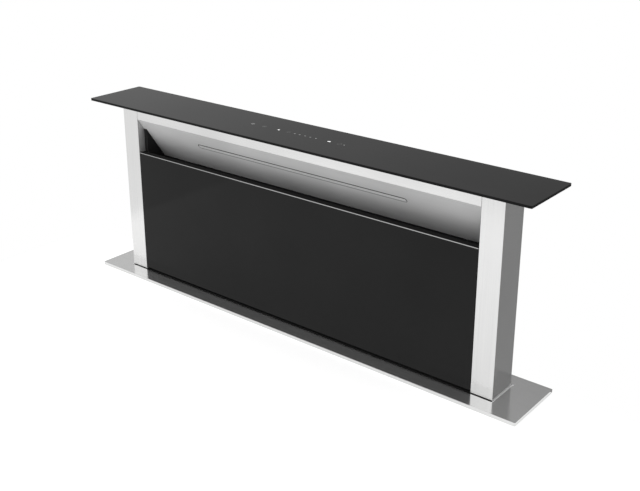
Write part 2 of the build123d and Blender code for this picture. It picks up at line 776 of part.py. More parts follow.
def casing_side():
    """Lipped right-hand side with two fixing holes beside the rail."""
    half = CASING_DEPTH / 2 - SHEET
    lip = CASING_OUT - CASING_LIP
    section = folded([(lip, -half), (CASING_OUT, -half), (CASING_OUT, half), (lip, half)], SHEET)
    side = along_z(section, CASING_FLOOR, PLATE_UNDER)
    centre = TOWER_FOOT - FIXING_BELOW_TOWER - FIXING_SPREAD_Z / 2
    for z in (centre - FIXING_SPREAD_Z / 2, centre + FIXING_SPREAD_Z / 2):
        side -= rod_x(FIXING_RADIUS, CASING_OUT - 2 * SHEET, CASING_OUT + SHEET, FIXING_Y, z)
    return side


def casing_floor():
    """Bottom pan that closes the casing, with a flange inside the front and rear sheets."""
    pan = block(
        (-CASING_OUT, CASING_OUT), (CASING_FRONT, -CASING_FRONT), (CASING_FLOOR - SHEET, CASING_FLOOR)
    )
    inside = -CASING_FRONT - SHEET
    reach = CASING_OUT - CASING_LIP - 2 * SHEET
    edge = block((-reach, reach), (inside - SHEET, inside), (CASING_FLOOR, CASING_FLOOR + CASING_LIP))
    return pan + edge + mirror(edge, Plane.XZ)


nodes["casing_front"] = casing_front()
nodes["casing_rear"] = casing_rear()
nodes["casing_right_side"] = casing_side()
nodes["casing_left_side"] = left_of(nodes["casing_right_side"])
nodes["casing_floor"] = casing_floor()

# ---------------------------------------------------------------- blower

scroll_back = CASING_FRONT
scroll_front = scroll_back - BLOWER_DEPTH
outlet_top = -SCROLL_START * sin(radians(SCROLL_CUTOFF_ANGLE)) + SCROLL_STEP / 2
outlet_bottom = -SCROLL_START - 3.5 * SCROLL_STEP


def scroll_outline(inset, reach):
    """Volute round the wheel: four growing arcs, then a straight outlet that ends at reach."""
    half = SCROLL_STEP / 2
    top = outlet_top - inset
    start = SCROLL_START - inset
    cutoff = degrees(asin((half - top) / start))
    centres = [(half, half), (-half, half), (-half, -half), (half, -half)]
    sweeps = [cutoff, 90, 90, 90]
    angle = -cutoff
    lines = []
    for step in range(len(centres)):
        lines.append(CenterArc(centres[step], start + step * SCROLL_STEP, angle, sweeps[step]))
        angle += sweeps[step]
    mouth_top = (reach, top)
    mouth_bottom = (reach, outlet_bottom + inset)
    lines.append(Line(lines[-1] @ 1, mouth_bottom))
    lines.append(Line(mouth_bottom, mouth_top))
    lines.append(Line(mouth_top, lines[0] @ 0))
    return make_face(lines)


def blower_scroll():
    """Volute wall with its back plate and the inlet hole."""
    outer = scroll_outline(0, SCROLL_REACH)
    inner = scroll_outline(SHEET, SCROLL_REACH + SHEET)
    wall = forward(outer - inner, scroll_back, scroll_front)
    plate = forward(outer - Circle(INLET_RADIUS), scroll_back, scroll_back - SHEET)
    return blower_place * (wall + plate)


def scroll_cover():
    """Front plate of the scroll with the motor hole."""
    plate = scroll_outline(0, SCROLL_REACH) - Circle(MOTOR_HOLE)
    return blower_place * forward(plate, scroll_front, scroll_front - SHEET)


def inlet_ring():
    """Flared mouth that leads the air from the casing into the wheel's eye."""
    face = CASING_FRONT + 2 * SHEET
    flare = INLET_RADIUS - INLET_FIT - INLET_THROAT
    line = Polyline(
        (INLET_THROAT, face - flare - INLET_LIP),
        (INLET_THROAT, face - flare),
        (INLET_THROAT + flare, face),
        (INLET_FLANGE, face),
    )
    section = make_face(offset(line, amount=SHEET, side=Side.RIGHT, kind=Kind.INTERSECTION))
    return blower_place * revolve(section, axis=Axis.Y)


def wheel_blade():
    """One forward-curved blade in the wheel's plane, between the eye and the rim."""
    start = (WHEEL_EYE + BLADE_SETBACK, 0)
    turn = radians(BLADE_SWEEP)
    rim = WHEEL_RADIUS - BLADE_THICKNESS
    end = (rim * cos(turn), rim * sin(turn))
    inner = RadiusArc(start, end, BLADE_CURVE)
    thickness = Rot(0, 0, 360 * BLADE_THICKNESS / (2 * pi * WHEEL_EYE))
    outer = thickness * RadiusArc(start, end, BLADE_CURVE)
    sides = [Line(inner @ 0, outer @ 0), Line(inner @ 1, outer @ 1)]
    return make_face([inner, outer] + sides)


def impeller():
    """Squirrel-cage wheel: back disc with hub, blades and the ring round the eye."""
    start = scroll_back - WHEEL_START
    end = start - WHEEL_WIDTH
    blades = Sketch() + [place * wheel_blade() for place in PolarLocations(0, BLADES)]
    wheel = forward(blades, start, end)
    wheel += forward(Circle(WHEEL_RADIUS) - Circle(WHEEL_EYE), start, start - WHEEL_RING)
    wheel += forward(Circle(WHEEL_RADIUS), end + WHEEL_RING, end)
    wheel += forward(Circle(WHEEL_HUB_RADIUS), end + WHEEL_HUB_LENGTH, end - WHEEL_HUB_LENGTH / 2)
    wheel -= forward(Circle(MOTOR_SHAFT), start, scroll_front)
    return blower_place * wheel


motor_face = scroll_front - SHEET - MOTOR_PLATE_SHEET
shaft_start = scroll_back - WHEEL_START - WHEEL_WIDTH + WHEEL_HUB_LENGTH + 2


def blower_motor():
    """External-rotor motor can with a bevelled, vented end and a blind bore for its shaft."""
    body = forward(Circle(MOTOR_RADIUS), motor_face, motor_face - MOTOR_LENGTH)
    body = chamfer(body.faces().sort_by(Axis.Y)[0].edges(), MOTOR_CHAMFER)
    depth = shaft_start - MOTOR_SHAFT_LENGTH - 1
    body -= forward(Circle(MOTOR_SHAFT + RUNNING_GAP), motor_face, depth)
    length, width, vent_depth = MOTOR_VENT
    ring = PolarLocations(MOTOR_VENT_RING, MOTOR_VENTS)
    vents = Sketch() + [place * Rectangle(length, width) for place in ring]
    motor_end = motor_face - MOTOR_LENGTH
    body -= forward(vents, motor_end + vent_depth, motor_end)
    return blower_place * body


nodes["blower_scroll"] = blower_scroll()
nodes["scroll_cover"] = scroll_cover()
nodes["inlet_ring"] = inlet_ring()
nodes["impeller"] = impeller()
nodes["motor_shaft"] = disc_along_y(MOTOR_SHAFT, shaft_start, shaft_start - MOTOR_SHAFT_LENGTH)
nodes["motor_plate"] = blower_place * forward(
    Circle(MOTOR_PLATE) - Circle(MOTOR_PLATE_HOLE), scroll_front - SHEET, motor_face
)
nodes["blower_motor"] = blower_motor()

# ---------------------------------------------------------------- duct outlet with damper flaps

adapter_start = BLOWER_X + SCROLL_REACH
collar_start = adapter_start + ADAPTER_LENGTH
duct_y = CASING_FRONT - DUCT_TO_CASING - DUCT_RADIUS - DUCT_BEAD
duct_z = BLOWER_Z + (outlet_top + outlet_bottom) / 2
flap_x = collar_start + FLAP_INSET


def transition(inset, radius):
    """Square-to-round body of flat facets: a triangle on each side and a fan at each corner."""
    y0 = scroll_front + inset
    y1 = scroll_back - inset
    z0 = BLOWER_Z + outlet_bottom + inset
    z1 = BLOWER_Z + outlet_top - inset
    x = adapter_start
    mouth = [(x, y1, z1), (x, y0, z1), (x, y0, z0), (x, y1, z0)]
    ring = []
    for step in range(4 * CORNER_FACETS + 1):
        turn = step * pi / 2 / CORNER_FACETS
        ring.append((collar_start, duct_y + radius * cos(turn), duct_z + radius * sin(turn)))
    facets = [mouth, ring[:-1]]
    for side in range(4):
        corner = mouth[side]
        first = side * CORNER_FACETS
        facets += [(corner, ring[first + i], ring[first + i + 1]) for i in range(CORNER_FACETS)]
        facets.append((corner, mouth[(side + 1) % 4], ring[first + CORNER_FACETS]))
    return Solid(Shell([make_face(Polyline(*facet, close=True)) for facet in facets]))


def outlet_adapter():
    """Square-to-round transition from the blower's mouth to the duct collar."""
    return transition(0, DUCT_RADIUS) - transition(SHEET, DUCT_RADIUS - DUCT_WALL)


def duct_collar():
    """Spigot with a bead that stops the duct and holes for the flap pin."""
    end = collar_start + DUCT_LENGTH
    collar = rod_x(DUCT_RADIUS, collar_start, end, duct_y, duct_z)
    collar += rod_x(DUCT_RADIUS + DUCT_BEAD, collar_start, collar_start + 3 * DUCT_BEAD, duct_y, duct_z)
    collar -= rod_x(DUCT_RADIUS - DUCT_WALL, collar_start - 1, end + 1, duct_y, duct_z)
    return collar - flap_pin()


def flap_pin():
    return rod_z(FLAP_PIN, flap_x, duct_y, duct_z - DUCT_RADIUS, duct_z + DUCT_RADIUS)


def damper_flap(side):
    """Half-round flap with its knuckle on the pin; side is -1 for the front, +1 for the rear."""
    radius = DUCT_RADIUS - DUCT_WALL - FLAP_GAP
    stand_off = KNUCKLE_RADIUS + KNUCKLE_GAP
    half = Circle(radius) & Pos(side * (radius + stand_off), 0) * Rectangle(2 * radius, 2 * radius)
    flap = along_x(half, -FLAP_SHEET / 2, FLAP_SHEET / 2)
    low, high = sorted((side * KNUCKLE_GAP / 2, side * KNUCKLE_LENGTH))
    reach = sorted((0, side * 2 * stand_off))
    flap += rod_z(KNUCKLE_RADIUS, 0, 0, low, high)
    flap += block((-FLAP_SHEET / 2, FLAP_SHEET / 2), reach, (low, high))
    flap -= rod_z(FLAP_PIN + RUNNING_GAP, 0, 0, -radius, radius)
    return Pos(flap_x, duct_y, duct_z) * flap


nodes["outlet_adapter"] = outlet_adapter()
nodes["duct_collar"] = duct_collar()
nodes["flap_pin"] = flap_pin()
nodes["front_flap"] = damper_flap(-1)
nodes["rear_flap"] = damper_flap(1)

# ---------------------------------------------------------------- electronics on the casing

box_start = BOX_INSET - CASING_OUT
box_x = (box_start, box_start + BOX_WIDTH)
box_z = (BOX_BOTTOM, BOX_BOTTOM + BOX_HEIGHT)
box_front = CASING_FRONT - BOX_DEPTH
board_back = CASING_FRONT - BOX_WALL - STANDOFF


def inset(pair, amount):
    """A pair of coordinates drawn in by the same amount at both ends."""
    return (pair[0] + amount, pair[1] - amount)


def control_box():
    """Open tray with standoffs for the board and a hole for the cable gland."""
    outside = block(box_x, (box_front, CASING_FRONT), box_z)
    hollow = (box_front - 1, CASING_FRONT - BOX_WALL)
    box = outside - block(inset(box_x, BOX_WALL), hollow, inset(box_z, BOX_WALL))
    for x in inset(box_x, 2 * BOARD_MARGIN):
        for z in inset(box_z, 2 * BOARD_MARGIN):
            post = forward(RegularPolygon(STANDOFF / 2, 6), CASING_FRONT - BOX_WALL, board_back)
            box += Pos(x, 0, z) * post
    return box - gland_hole(GLAND_THREAD)


def gland_hole(radius):
    """A bar through the box's floor where the cable gland sits."""
    middle = (box_front + CASING_FRONT) / 2
    return rod_z(radius, sum(box_x) / 2, middle, BOX_BOTTOM, BOX_BOTTOM + BOX_WALL)


def control_box_cover():
    """Vented cover plate with a locating rim that fits inside the tray."""
    fit = BOX_WALL + COVER_FIT
    plate = block(box_x, (box_front - BOX_WALL, box_front), box_z)
    rows = GridLocations(1, BOX_VENT_PITCH, 1, BOX_VENTS)
    vents = Sketch() + [place * Rectangle(BOX_VENT[0], BOX_VENT[1]) for place in rows]
    vents = Pos(sum(box_x) / 2, sum(box_z) / 2) * vents
    plate -= forward(vents, box_front, box_front - BOX_WALL)
    rim_y = (box_front, box_front + 2 * BOX_WALL)
    rim = block(inset(box_x, fit), rim_y, inset(box_z, fit))
    rim -= block(inset(box_x, fit + BOX_WALL), rim_y, inset(box_z, fit + BOX_WALL))
    return plate + rim


def power_board():
    """Circuit board with a transformer and two relays."""
    board_front = board_back - BOARD_THICKNESS
    board = block(inset(box_x, BOARD_MARGIN), (board_front, board_back), inset(box_z, BOARD_MARGIN))
    end = box_x[1] - 2 * BOARD_MARGIN
    foot, top = inset(box_z, 2 * BOARD_MARGIN)
    width, depth, height = TRANSFORMER
    board += block((end - width, end), (board_front - depth, board_front), (foot, foot + height))
    width, depth, height = RELAY
    for relay_end in (end, end - RELAY_PITCH):
        across = (relay_end - width, relay_end)
        board += block(across, (board_front - depth, board_front), (top - height, top))
    return board


def capacitor():
    """Motor capacitor lying on the board."""
    y = board_back - BOARD_THICKNESS - CAPACITOR_RADIUS
    x = box_x[0] + 2 * BOARD_MARGIN + CAPACITOR_RADIUS
    z = sum(box_z) / 2
    return rod_z(CAPACITOR_RADIUS, x, y, z - CAPACITOR_LENGTH / 2, z + CAPACITOR_LENGTH / 2)


def cable_gland():
    """Hexagon and dome outside the box, thread through its floor, bored for a cable."""
    middle = Pos(sum(box_x) / 2, (box_front + CASING_FRONT) / 2)
    half = GLAND_LENGTH / 2
    nut = along_z(RegularPolygon(GLAND_RADIUS, 6), BOX_BOTTOM - half, BOX_BOTTOM)
    dome = along_z(Circle(GLAND_DOME), BOX_BOTTOM - GLAND_LENGTH, BOX_BOTTOM - half)
    thread = along_z(Circle(GLAND_THREAD), BOX_BOTTOM, BOX_BOTTOM + half)
    bore = along_z(Circle(GLAND_BORE), BOX_BOTTOM - 2 * GLAND_LENGTH, BOX_BOTTOM + GLAND_LENGTH)
    return middle * (nut + dome + thread - bore)


nodes["control_box"] = control_box()
nodes["control_box_cover"] = control_box_cover()
nodes["power_board"] = power_board()
nodes["motor_capacitor"] = capacitor()
nodes["cable_gland"] = cable_gland()

# ---------------------------------------------------------------- worktop clamps


clamp_screw_y = CASING_FRONT - CLAMP_SCREW_OUT
clamp_screw_x = CASING_OUT - CLAMP_INSET


def clamp_bracket():
    """Folded angle on the casing front, notched for the clamping screw."""
    tip = CASING_FRONT - CLAMP_ARM
    foot = CLAMP_Z - CLAMP_LEG
    section = folded([(CASING_FRONT, foot), (CASING_FRONT, CLAMP_Z), (tip, CLAMP_Z)], CLAMP_SHEET)
    half = CLAMP_WIDTH / 2
    angle = along_x(section, clamp_screw_x - half, clamp_screw_x + half)
    notch_x = (clamp_screw_x - CLAMP_SCREW, clamp_screw_x + CLAMP_SCREW)
    notch_y = (tip - 1, clamp_screw_y + CLAMP_SCREW)
    return angle - block(notch_x, notch_y, (CLAMP_Z - 2 * CLAMP_SHEET, CLAMP_Z + CLAMP_SHEET))


def clamp_screw():
    """Screw that bears on the worktop's underside, with a hexagon knob at its tail."""
    tail = CLAMP_Z - CLAMP_SCREW_TAIL
    bar = rod_z(CLAMP_SCREW, clamp_screw_x, clamp_screw_y, tail, -WORKTOP)
    knob = along_z(RegularPolygon(2 * CLAMP_SCREW, 6), tail - 2 * CLAMP_SHEET, tail)
    return bar + Pos(clamp_screw_x, clamp_screw_y) * knob


def all_corners(shape):
    """A shape at the front right, repeated at the left and along the rear."""
    pair = [shape, left_of(shape)]
    return Compound(children=pair + [mirror(item, Plane.XZ) for item in pair])


nodes["worktop_clamps"] = all_corners(clamp_bracket())
nodes["clamp_screws"] = all_corners(clamp_screw())

# ---------------------------------------------------------------- write one file for each piece

for name, shape in nodes.items():
    export_step(shape, f"parts/{name}.step")
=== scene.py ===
"""Finishes, small fittings, studio and camera for a rising worktop downdraft vent.

Metres throughout. The origin is the middle of the worktop cut-out at worktop level,
+X is to the right, -Y to the front and +Z up.
"""
import math

import bmesh
import bpy
from mathutils import Matrix, Vector
from mathutils.bvhtree import BVHTree


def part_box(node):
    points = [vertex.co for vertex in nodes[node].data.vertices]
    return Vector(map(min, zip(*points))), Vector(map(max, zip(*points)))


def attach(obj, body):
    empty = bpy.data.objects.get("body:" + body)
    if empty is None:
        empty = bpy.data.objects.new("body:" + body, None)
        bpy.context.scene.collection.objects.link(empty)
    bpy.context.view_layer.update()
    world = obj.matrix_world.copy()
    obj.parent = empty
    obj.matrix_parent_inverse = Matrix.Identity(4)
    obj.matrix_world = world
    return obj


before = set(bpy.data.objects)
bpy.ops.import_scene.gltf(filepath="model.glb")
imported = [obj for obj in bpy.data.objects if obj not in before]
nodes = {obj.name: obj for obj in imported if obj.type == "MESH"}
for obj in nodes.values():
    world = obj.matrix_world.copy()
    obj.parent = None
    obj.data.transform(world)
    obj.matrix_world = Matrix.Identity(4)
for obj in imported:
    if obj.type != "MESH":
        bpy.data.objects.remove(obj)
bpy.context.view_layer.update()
MM = 0.001


def grey(value):
    """An even colour of one level."""
    return (value, value, value, 1.0)


def new_object(name, data):
    """Puts a new object in the scene."""
    made = bpy.data.objects.new(name, data)
    bpy.context.scene.collection.objects.link(made)
    return made


# ---------------------------------------------------------------- shader building

# noise lies mostly between these two levels, and is stretched from there to 0..1
NOISE_LOW, NOISE_HIGH = 0.3, 0.7
EDGE_BREAK_SCALE = 60.0
DUST_SPECK_SCALE, DUST_PATCH_SCALE = 350.0, 9.0
DUST_COLOUR = grey(0.55)
DUST_ROUGHNESS = 0.4
ZINC_STREAK_SCALE = 400.0
ZINC_CELL_SHARE, ZINC_STREAK_SHARE = 0.6, 0.4
BRUSH_CLOUD_SCALE = 7.0


def add(tree, kind, **values):
    """Adds a node to a tree and sets its plain properties."""
    node = tree.nodes.new(kind)
    for name, value in values.items():
        setattr(node, name, value)
    return node


def feed(tree, socket, value):
    """Links a socket to another one, or sets its own value."""
    if isinstance(value, bpy.types.NodeSocket):
        tree.links.new(value, socket)
    else:
        socket.default_value = value


def maths(tree, operation, first, second=0.0, clamp=False):
    """One arithmetic step on two values."""
    node = add(tree, "ShaderNodeMath", operation=operation, use_clamp=clamp)
    feed(tree, node.inputs[0], first)
    feed(tree, node.inputs[1], second)
    return node.outputs[0]


def remap(tree, value, low, high, new_low=0.0, new_high=1.0):
    """Stretches the span low..high of a value over new_low..new_high."""
    node = add(tree, "ShaderNodeMapRange")
    for socket, item in zip(node.inputs, (value, low, high, new_low, new_high)):
        feed(tree, socket, item)
    return node.outputs[0]


def blend_colour(tree, factor, first, second):
    """Goes from the first colour to the second with factor."""
    node = add(tree, "ShaderNodeMix", data_type="RGBA")
    feed(tree, node.inputs["Factor"], factor)
    feed(tree, node.inputs["A"], first)
    feed(tree, node.inputs["B"], second)
    return node.outputs["Result"]


def noise(tree, place, scale, detail=2.0, roughness=0.5):
    """Cloudy noise, about 0.3 to 0.7."""
    node = add(tree, "ShaderNodeTexNoise")
    feed(tree, node.inputs["Vector"], place)
    feed(tree, node.inputs["Scale"], scale)
    feed(tree, node.inputs["Detail"], detail)
    feed(tree, node.inputs["Roughness"], roughness)
    return node.outputs["Fac"]


def new_group(name, inputs, outputs):
    """Starts a node group. Inputs are (name, kind, default), outputs (name, kind)."""
    tree = bpy.data.node_groups.new(name, "ShaderNodeTree")
    for label, kind, default in inputs:
        socket = tree.interface.new_socket(
            label, in_out="INPUT", socket_type="NodeSocket" + kind)
        socket.default_value = default
    for label, kind in outputs:
        tree.interface.new_socket(label, in_out="OUTPUT", socket_type="NodeSocket" + kind)
    return tree, add(tree, "NodeGroupInput").outputs, add(tree, "NodeGroupOutput").inputs


def make_grain():
    """Fine parallel brush lines. Stretch is how often the noise repeats per metre, by axis."""
    tree, given, out = new_group(
        "brush_grain",
        [("Place", "Vector", (0, 0, 0)), ("Stretch", "Vector", (4, 900, 900))],
        [("Tone", "Float")],
    )
    scaled = add(tree, "ShaderNodeVectorMath", operation="MULTIPLY")
    feed(tree, scaled.inputs[0], given["Place"])
    feed(tree, scaled.inputs[1], given["Stretch"])
    lines = noise(tree, scaled.outputs[0], 1.0, detail=3.0, roughness=0.6)
    feed(tree, out["Tone"], remap(tree, lines, NOISE_LOW, NOISE_HIGH))
    return tree


def make_cloud():
    """Slow cloudy variation, as of a surface that isn't quite even."""
    tree, given, out = new_group(
        "slow_cloud",
        [("Place", "Vector", (0, 0, 0)), ("Scale", "Float", 8.0)],
        [("Tone", "Float")],
    )
    clouds = noise(tree, given["Place"], given["Scale"])
    feed(tree, out["Tone"], remap(tree, clouds, 0.32, 0.68))
    return tree


def make_worn_edge():
    """A mask along sharp edges, broken up by noise, for rubbed or polished rims."""
    tree, given, out = new_group(
        "worn_edge",
        [("Place", "Vector", (0, 0, 0)), ("Width", "Float", 0.0008), ("Gain", "Float", 6.0)],
        [("Mask", "Float")],
    )
    rounded = add(tree, "ShaderNodeBevel", samples=4)
    feed(tree, rounded.inputs["Radius"], given["Width"])
    flat = add(tree, "ShaderNodeNewGeometry")
    same = add(tree, "ShaderNodeVectorMath", operation="DOT_PRODUCT")
    feed(tree, same.inputs[0], rounded.outputs["Normal"])
    feed(tree, same.inputs[1], flat.outputs["Normal"])
    turn = maths(tree, "SUBTRACT", 1.0, same.outputs["Value"])
    broken = remap(tree, noise(tree, given["Place"], EDGE_BREAK_SCALE), 0.3, 0.6, 0.35, 1.0)
    gained = maths(tree, "MULTIPLY", turn, given["Gain"])
    mask = maths(tree, "MULTIPLY", gained, broken, clamp=True)
    feed(tree, out["Mask"], mask)
    return tree


def make_dust():
    """A mask of the thin dust that settles on faces that look up."""
    tree, given, out = new_group(
        "settled_dust",
        [("Place", "Vector", (0, 0, 0)), ("Amount", "Float", 0.1)],
        [("Mask", "Float")],
    )
    facing = add(tree, "ShaderNodeSeparateXYZ")
    feed(tree, facing.inputs[0], add(tree, "ShaderNodeNewGeometry").outputs["Normal"])
    upward = remap(tree, facing.outputs["Z"], 0.3, 1.0)
    fine = noise(tree, given["Place"], DUST_SPECK_SCALE, detail=4.0)
    specks = remap(tree, fine, 0.42, 0.62)
    coarse = noise(tree, given["Place"], DUST_PATCH_SCALE)
    patches = remap(tree, coarse, 0.35, 0.65, 0.3, 1.0)
    settled = maths(tree, "MULTIPLY", specks, patches)
    amount = maths(tree, "MULTIPLY", settled, given["Amount"])
    feed(tree, out["Mask"], maths(tree, "MULTIPLY", amount, upward))
    return tree


def make_zinc_flake():
    """The faint crystal flowers of zinc coated sheet."""
    tree, given, out = new_group(
        "zinc_flake",
        [("Place", "Vector", (0, 0, 0)), ("Scale", "Float", 90.0)],
        [("Tone", "Float")],
    )
    cells = add(tree, "ShaderNodeTexVoronoi")
    feed(tree, cells.inputs["Vector"], given["Place"])
    feed(tree, cells.inputs["Scale"], given["Scale"])
    tone = add(tree, "ShaderNodeSeparateColor")
    feed(tree, tone.inputs[0], cells.outputs["Color"])
    streak = noise(tree, given["Place"], ZINC_STREAK_SCALE, detail=3.0)
    cell_part = maths(tree, "MULTIPLY", tone.outputs[0], ZINC_CELL_SHARE)
    streak_part = maths(tree, "MULTIPLY", streak, ZINC_STREAK_SHARE)
    feed(tree, out["Tone"], maths(tree, "ADD", cell_part, streak_part))
    return tree


def make_skin():
    """The fine pebbled skin of moulded plastic, rubber and paint."""
    tree, given, out = new_group(
        "moulded_skin",
        [("Place", "Vector", (0, 0, 0)), ("Scale", "Float", 1500.0)],
        [("Tone", "Float")],
    )
    pebbles = noise(tree, given["Place"], given["Scale"], detail=3.0)
    feed(tree, out["Tone"], remap(tree, pebbles, NOISE_LOW, NOISE_HIGH))
    return tree


GRAIN = make_grain()
CLOUD = make_cloud()
WORN_EDGE = make_worn_edge()
DUST = make_dust()
ZINC_FLAKE = make_zinc_flake()
SKIN = make_skin()


def place_group(tree, group, **values):
    """Puts a shared group in a material with its own values and gives its one output."""
    node = add(tree, "ShaderNodeGroup", node_tree=group)
    for label, value in values.items():
        feed(tree, node.inputs[label], value)
    return node.outputs[0]


def finish(name, pale, dark, rough, pattern, metallic=0.0, relief=0.0, relief_depth=0.0001,
           edge=None, edge_colour=None, dust=0.06, zone=None, **shader):
    """A finish whose colour, roughness and relief follow one 0..1 pattern.

    pale and dark are the colours at 1 and 0, rough the roughness at 0 and 1, and edge the
    width of a rubbed rim. zone gives a second finish past a level of one axis: the axis, the
    level, and its pale, dark, rough and metallic. Other values go on the shader's own sockets.
    """
    made = bpy.data.materials.new(name)
    made.use_nodes = True
    tree = made.node_tree
    main = tree.nodes["Principled BSDF"]
    place = add(tree, "ShaderNodeTexCoord").outputs["Object"]
    tone = pattern(tree, place)
    colour = blend_colour(tree, tone, dark, pale)
    roughness = remap(tree, tone, 0.0, 1.0, rough[0], rough[1])
    if zone:
        axis, level, zone_pale, zone_dark, zone_rough, zone_metallic = zone
        split = add(tree, "ShaderNodeSeparateXYZ")
        feed(tree, split.inputs[0], place)
        past = maths(tree, "GREATER_THAN", split.outputs[axis], level)
        colour = blend_colour(tree, past, colour, blend_colour(tree, tone, zone_dark, zone_pale))
        second_rough = remap(tree, tone, 0.0, 1.0, zone_rough[0], zone_rough[1])
        roughness = remap(tree, past, 0.0, 1.0, roughness, second_rough)
        metallic = remap(tree, past, 0.0, 1.0, metallic, zone_metallic)
    if edge:
        rim = place_group(tree, WORN_EDGE, Place=place, Width=edge)
        colour = blend_colour(tree, rim, colour, edge_colour or pale)
    if dust:
        film = place_group(tree, DUST, Place=place, Amount=dust)
        colour = blend_colour(tree, film, colour, DUST_COLOUR)
        roughened = maths(tree, "MULTIPLY", film, DUST_ROUGHNESS)
        roughness = maths(tree, "ADD", roughness, roughened)
    feed(tree, main.inputs["Base Color"], colour)
    feed(tree, main.inputs["Roughness"], roughness)
    if relief:
        bump = add(tree, "ShaderNodeBump")
        feed(tree, bump.inputs["Strength"], relief)
        feed(tree, bump.inputs["Distance"], relief_depth)
        feed(tree, bump.inputs["Height"], tone)
        feed(tree, main.inputs["Normal"], bump.outputs[0])
    feed(tree, main.inputs["Metallic"], metallic)
    for label, value in shader.items():
        main.inputs[label.replace("_", " ")].default_value = value
    return made


# ---------------------------------------------------------------- finishes

ALONG_X = (5, 1100, 1100)
ALONG_Z = (1100, 1100, 5)


def brushed(stretch, cloud_share=0.35):
    """A pattern of brush lines over slow clouds."""
    def pattern(tree, place):
        lines = place_group(tree, GRAIN, Place=place, Stretch=stretch)
        clouds = place_group(tree, CLOUD, Place=place, Scale=BRUSH_CLOUD_SCALE)
        fine = maths(tree, "MULTIPLY", lines, 1.0 - cloud_share)
        return maths(tree, "ADD", fine, maths(tree, "MULTIPLY", clouds, cloud_share))
    return pattern


def plain(group, **values):
    """A pattern of one shared group."""
    def pattern(tree, place):
        return place_group(tree, group, Place=place, **values)
    return pattern


# brushed stainless sheet
STEEL_PALE = (0.74, 0.74, 0.735, 1.0)
STEEL_DARK = (0.66, 0.66, 0.66, 1.0)
STEEL_ROUGH = (0.16, 0.24)
STEEL_ZONE = (STEEL_PALE, STEEL_DARK, STEEL_ROUGH, 1.0)
stainless_x = finish(
    "stainless_brushed_along", STEEL_PALE, STEEL_DARK, STEEL_ROUGH, brushed(ALONG_X),
    metallic=1.0, relief=0.12, dust=0.03)

# the header's upright band is brushed, and the deflector below it satin
HEADER_HEIGHT = 25 * MM
header_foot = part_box("header_deflector")[1].z - HEADER_HEIGHT
header_steel = finish(
    "stainless_header_and_satin_deflector", grey(0.74), grey(0.63), (0.45, 0.6),
    brushed(ALONG_X, cloud_share=0.75), metallic=0.05, relief=0.08, dust=0.0,
    zone=("Z", header_foot, *STEEL_ZONE))

# the trim is bright steel on the thin edge that looks forward; behind it the trim is painted black,
# as painted shade of the air slot between the panel and the deflector
TRIM_BRIGHT = 0.3 * MM
trim_bright_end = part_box("front_glass")[0].y + TRIM_BRIGHT
trim_steel = finish(
    "stainless_trim_painted_shade_behind", grey(0.42), grey(0.38), (0.14, 0.2), brushed(ALONG_X),
    metallic=1.0, relief=0.1, dust=0.0, Specular_IOR_Level=0.0,
    zone=("Y", trim_bright_end, grey(0.028), grey(0.022), (0.5, 0.6), 0.0))
# black powder coat; on the strip over the deflector's foot the same black is painted shade
black_coat_and_painted_shade = finish(
    "black_powder_coat_and_painted_shade", grey(0.020), grey(0.014), (0.5, 0.65), plain(SKIN), relief=0.2,
    dust=0.0, Specular_IOR_Level=0.12)
flange_steel = finish(
    "stainless_flange", STEEL_PALE, STEEL_DARK, (0.12, 0.2), brushed(ALONG_X),
    metallic=0.86, relief=0.05, dust=0.0)

# the columns are brushed outside and satin on the inner wall that faces the glass panel
LIP_PALE, LIP_DARK, LIP_ROUGH, LIP_METALLIC = grey(0.72), grey(0.62), (0.32, 0.42), 0.65
LIP_EDGE = 0.3 * MM
left_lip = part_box("left_column")[1].x - LIP_EDGE
right_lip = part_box("right_column")[0].x + LIP_EDGE
left_column_steel = finish(
    "stainless_left_column", STEEL_PALE, STEEL_DARK, STEEL_ROUGH, brushed(ALONG_Z),
    metallic=1.0, relief=0.12, dust=0.03,
    zone=("X", left_lip, LIP_PALE, LIP_DARK, LIP_ROUGH, LIP_METALLIC))
right_column_steel = finish(
    "stainless_right_column", LIP_PALE, LIP_DARK, LIP_ROUGH, brushed(ALONG_Z),
    metallic=LIP_METALLIC, relief=0.12, dust=0.03, zone=("X", right_lip, *STEEL_ZONE))

# black glass; the lid's top is painted a little paler than its edge, a painted reflection of the
# bright studio above it
LID_ARRIS = 0.3 * MM
lid_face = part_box("lid_glass")[1].z - LID_ARRIS
lid_black = finish(
    "lid_black_glass", grey(0.014), grey(0.010), (0.1, 0.16), plain(CLOUD, Scale=5.0),
    dust=0.0, Specular_IOR_Level=0.06,
    zone=("Z", lid_face, grey(0.040), grey(0.034), (0.07, 0.13), 0.0))
panel_black = finish(
    "panel_black_glass", grey(0.013), grey(0.009), (0.05, 0.1), plain(CLOUD, Scale=5.0),
    dust=0.0, Specular_IOR_Level=0.12)

# other metals
zinc = finish(
    "zinc_coated_sheet", (0.62, 0.64, 0.65, 1), (0.50, 0.52, 0.53, 1), (0.34, 0.46),
    plain(ZINC_FLAKE, Scale=170.0), metallic=1.0, relief=0.05, edge=0.0006)
machined = finish(
    "machined_steel", grey(0.56), grey(0.42), (0.22, 0.34), brushed(ALONG_X),
    metallic=1.0, relief=0.1, edge=0.0005)
mill_aluminium = finish(
    "mill_aluminium", (0.80, 0.81, 0.82, 1), (0.70, 0.71, 0.72, 1), (0.28, 0.4),
    brushed(ALONG_Z), metallic=1.0, relief=0.08)
cast_aluminium = finish(
    "cast_aluminium", (0.68, 0.69, 0.70, 1), (0.55, 0.56, 0.57, 1), (0.42, 0.6),
    plain(SKIN, Scale=900.0), metallic=1.0, relief=0.3, edge=0.0008)
screw_steel = finish(
    "zinc_plated_screws", grey(0.7), grey(0.58), (0.24, 0.36), plain(SKIN, Scale=900.0),
    metallic=1.0, relief=0.1, dust=0.0)

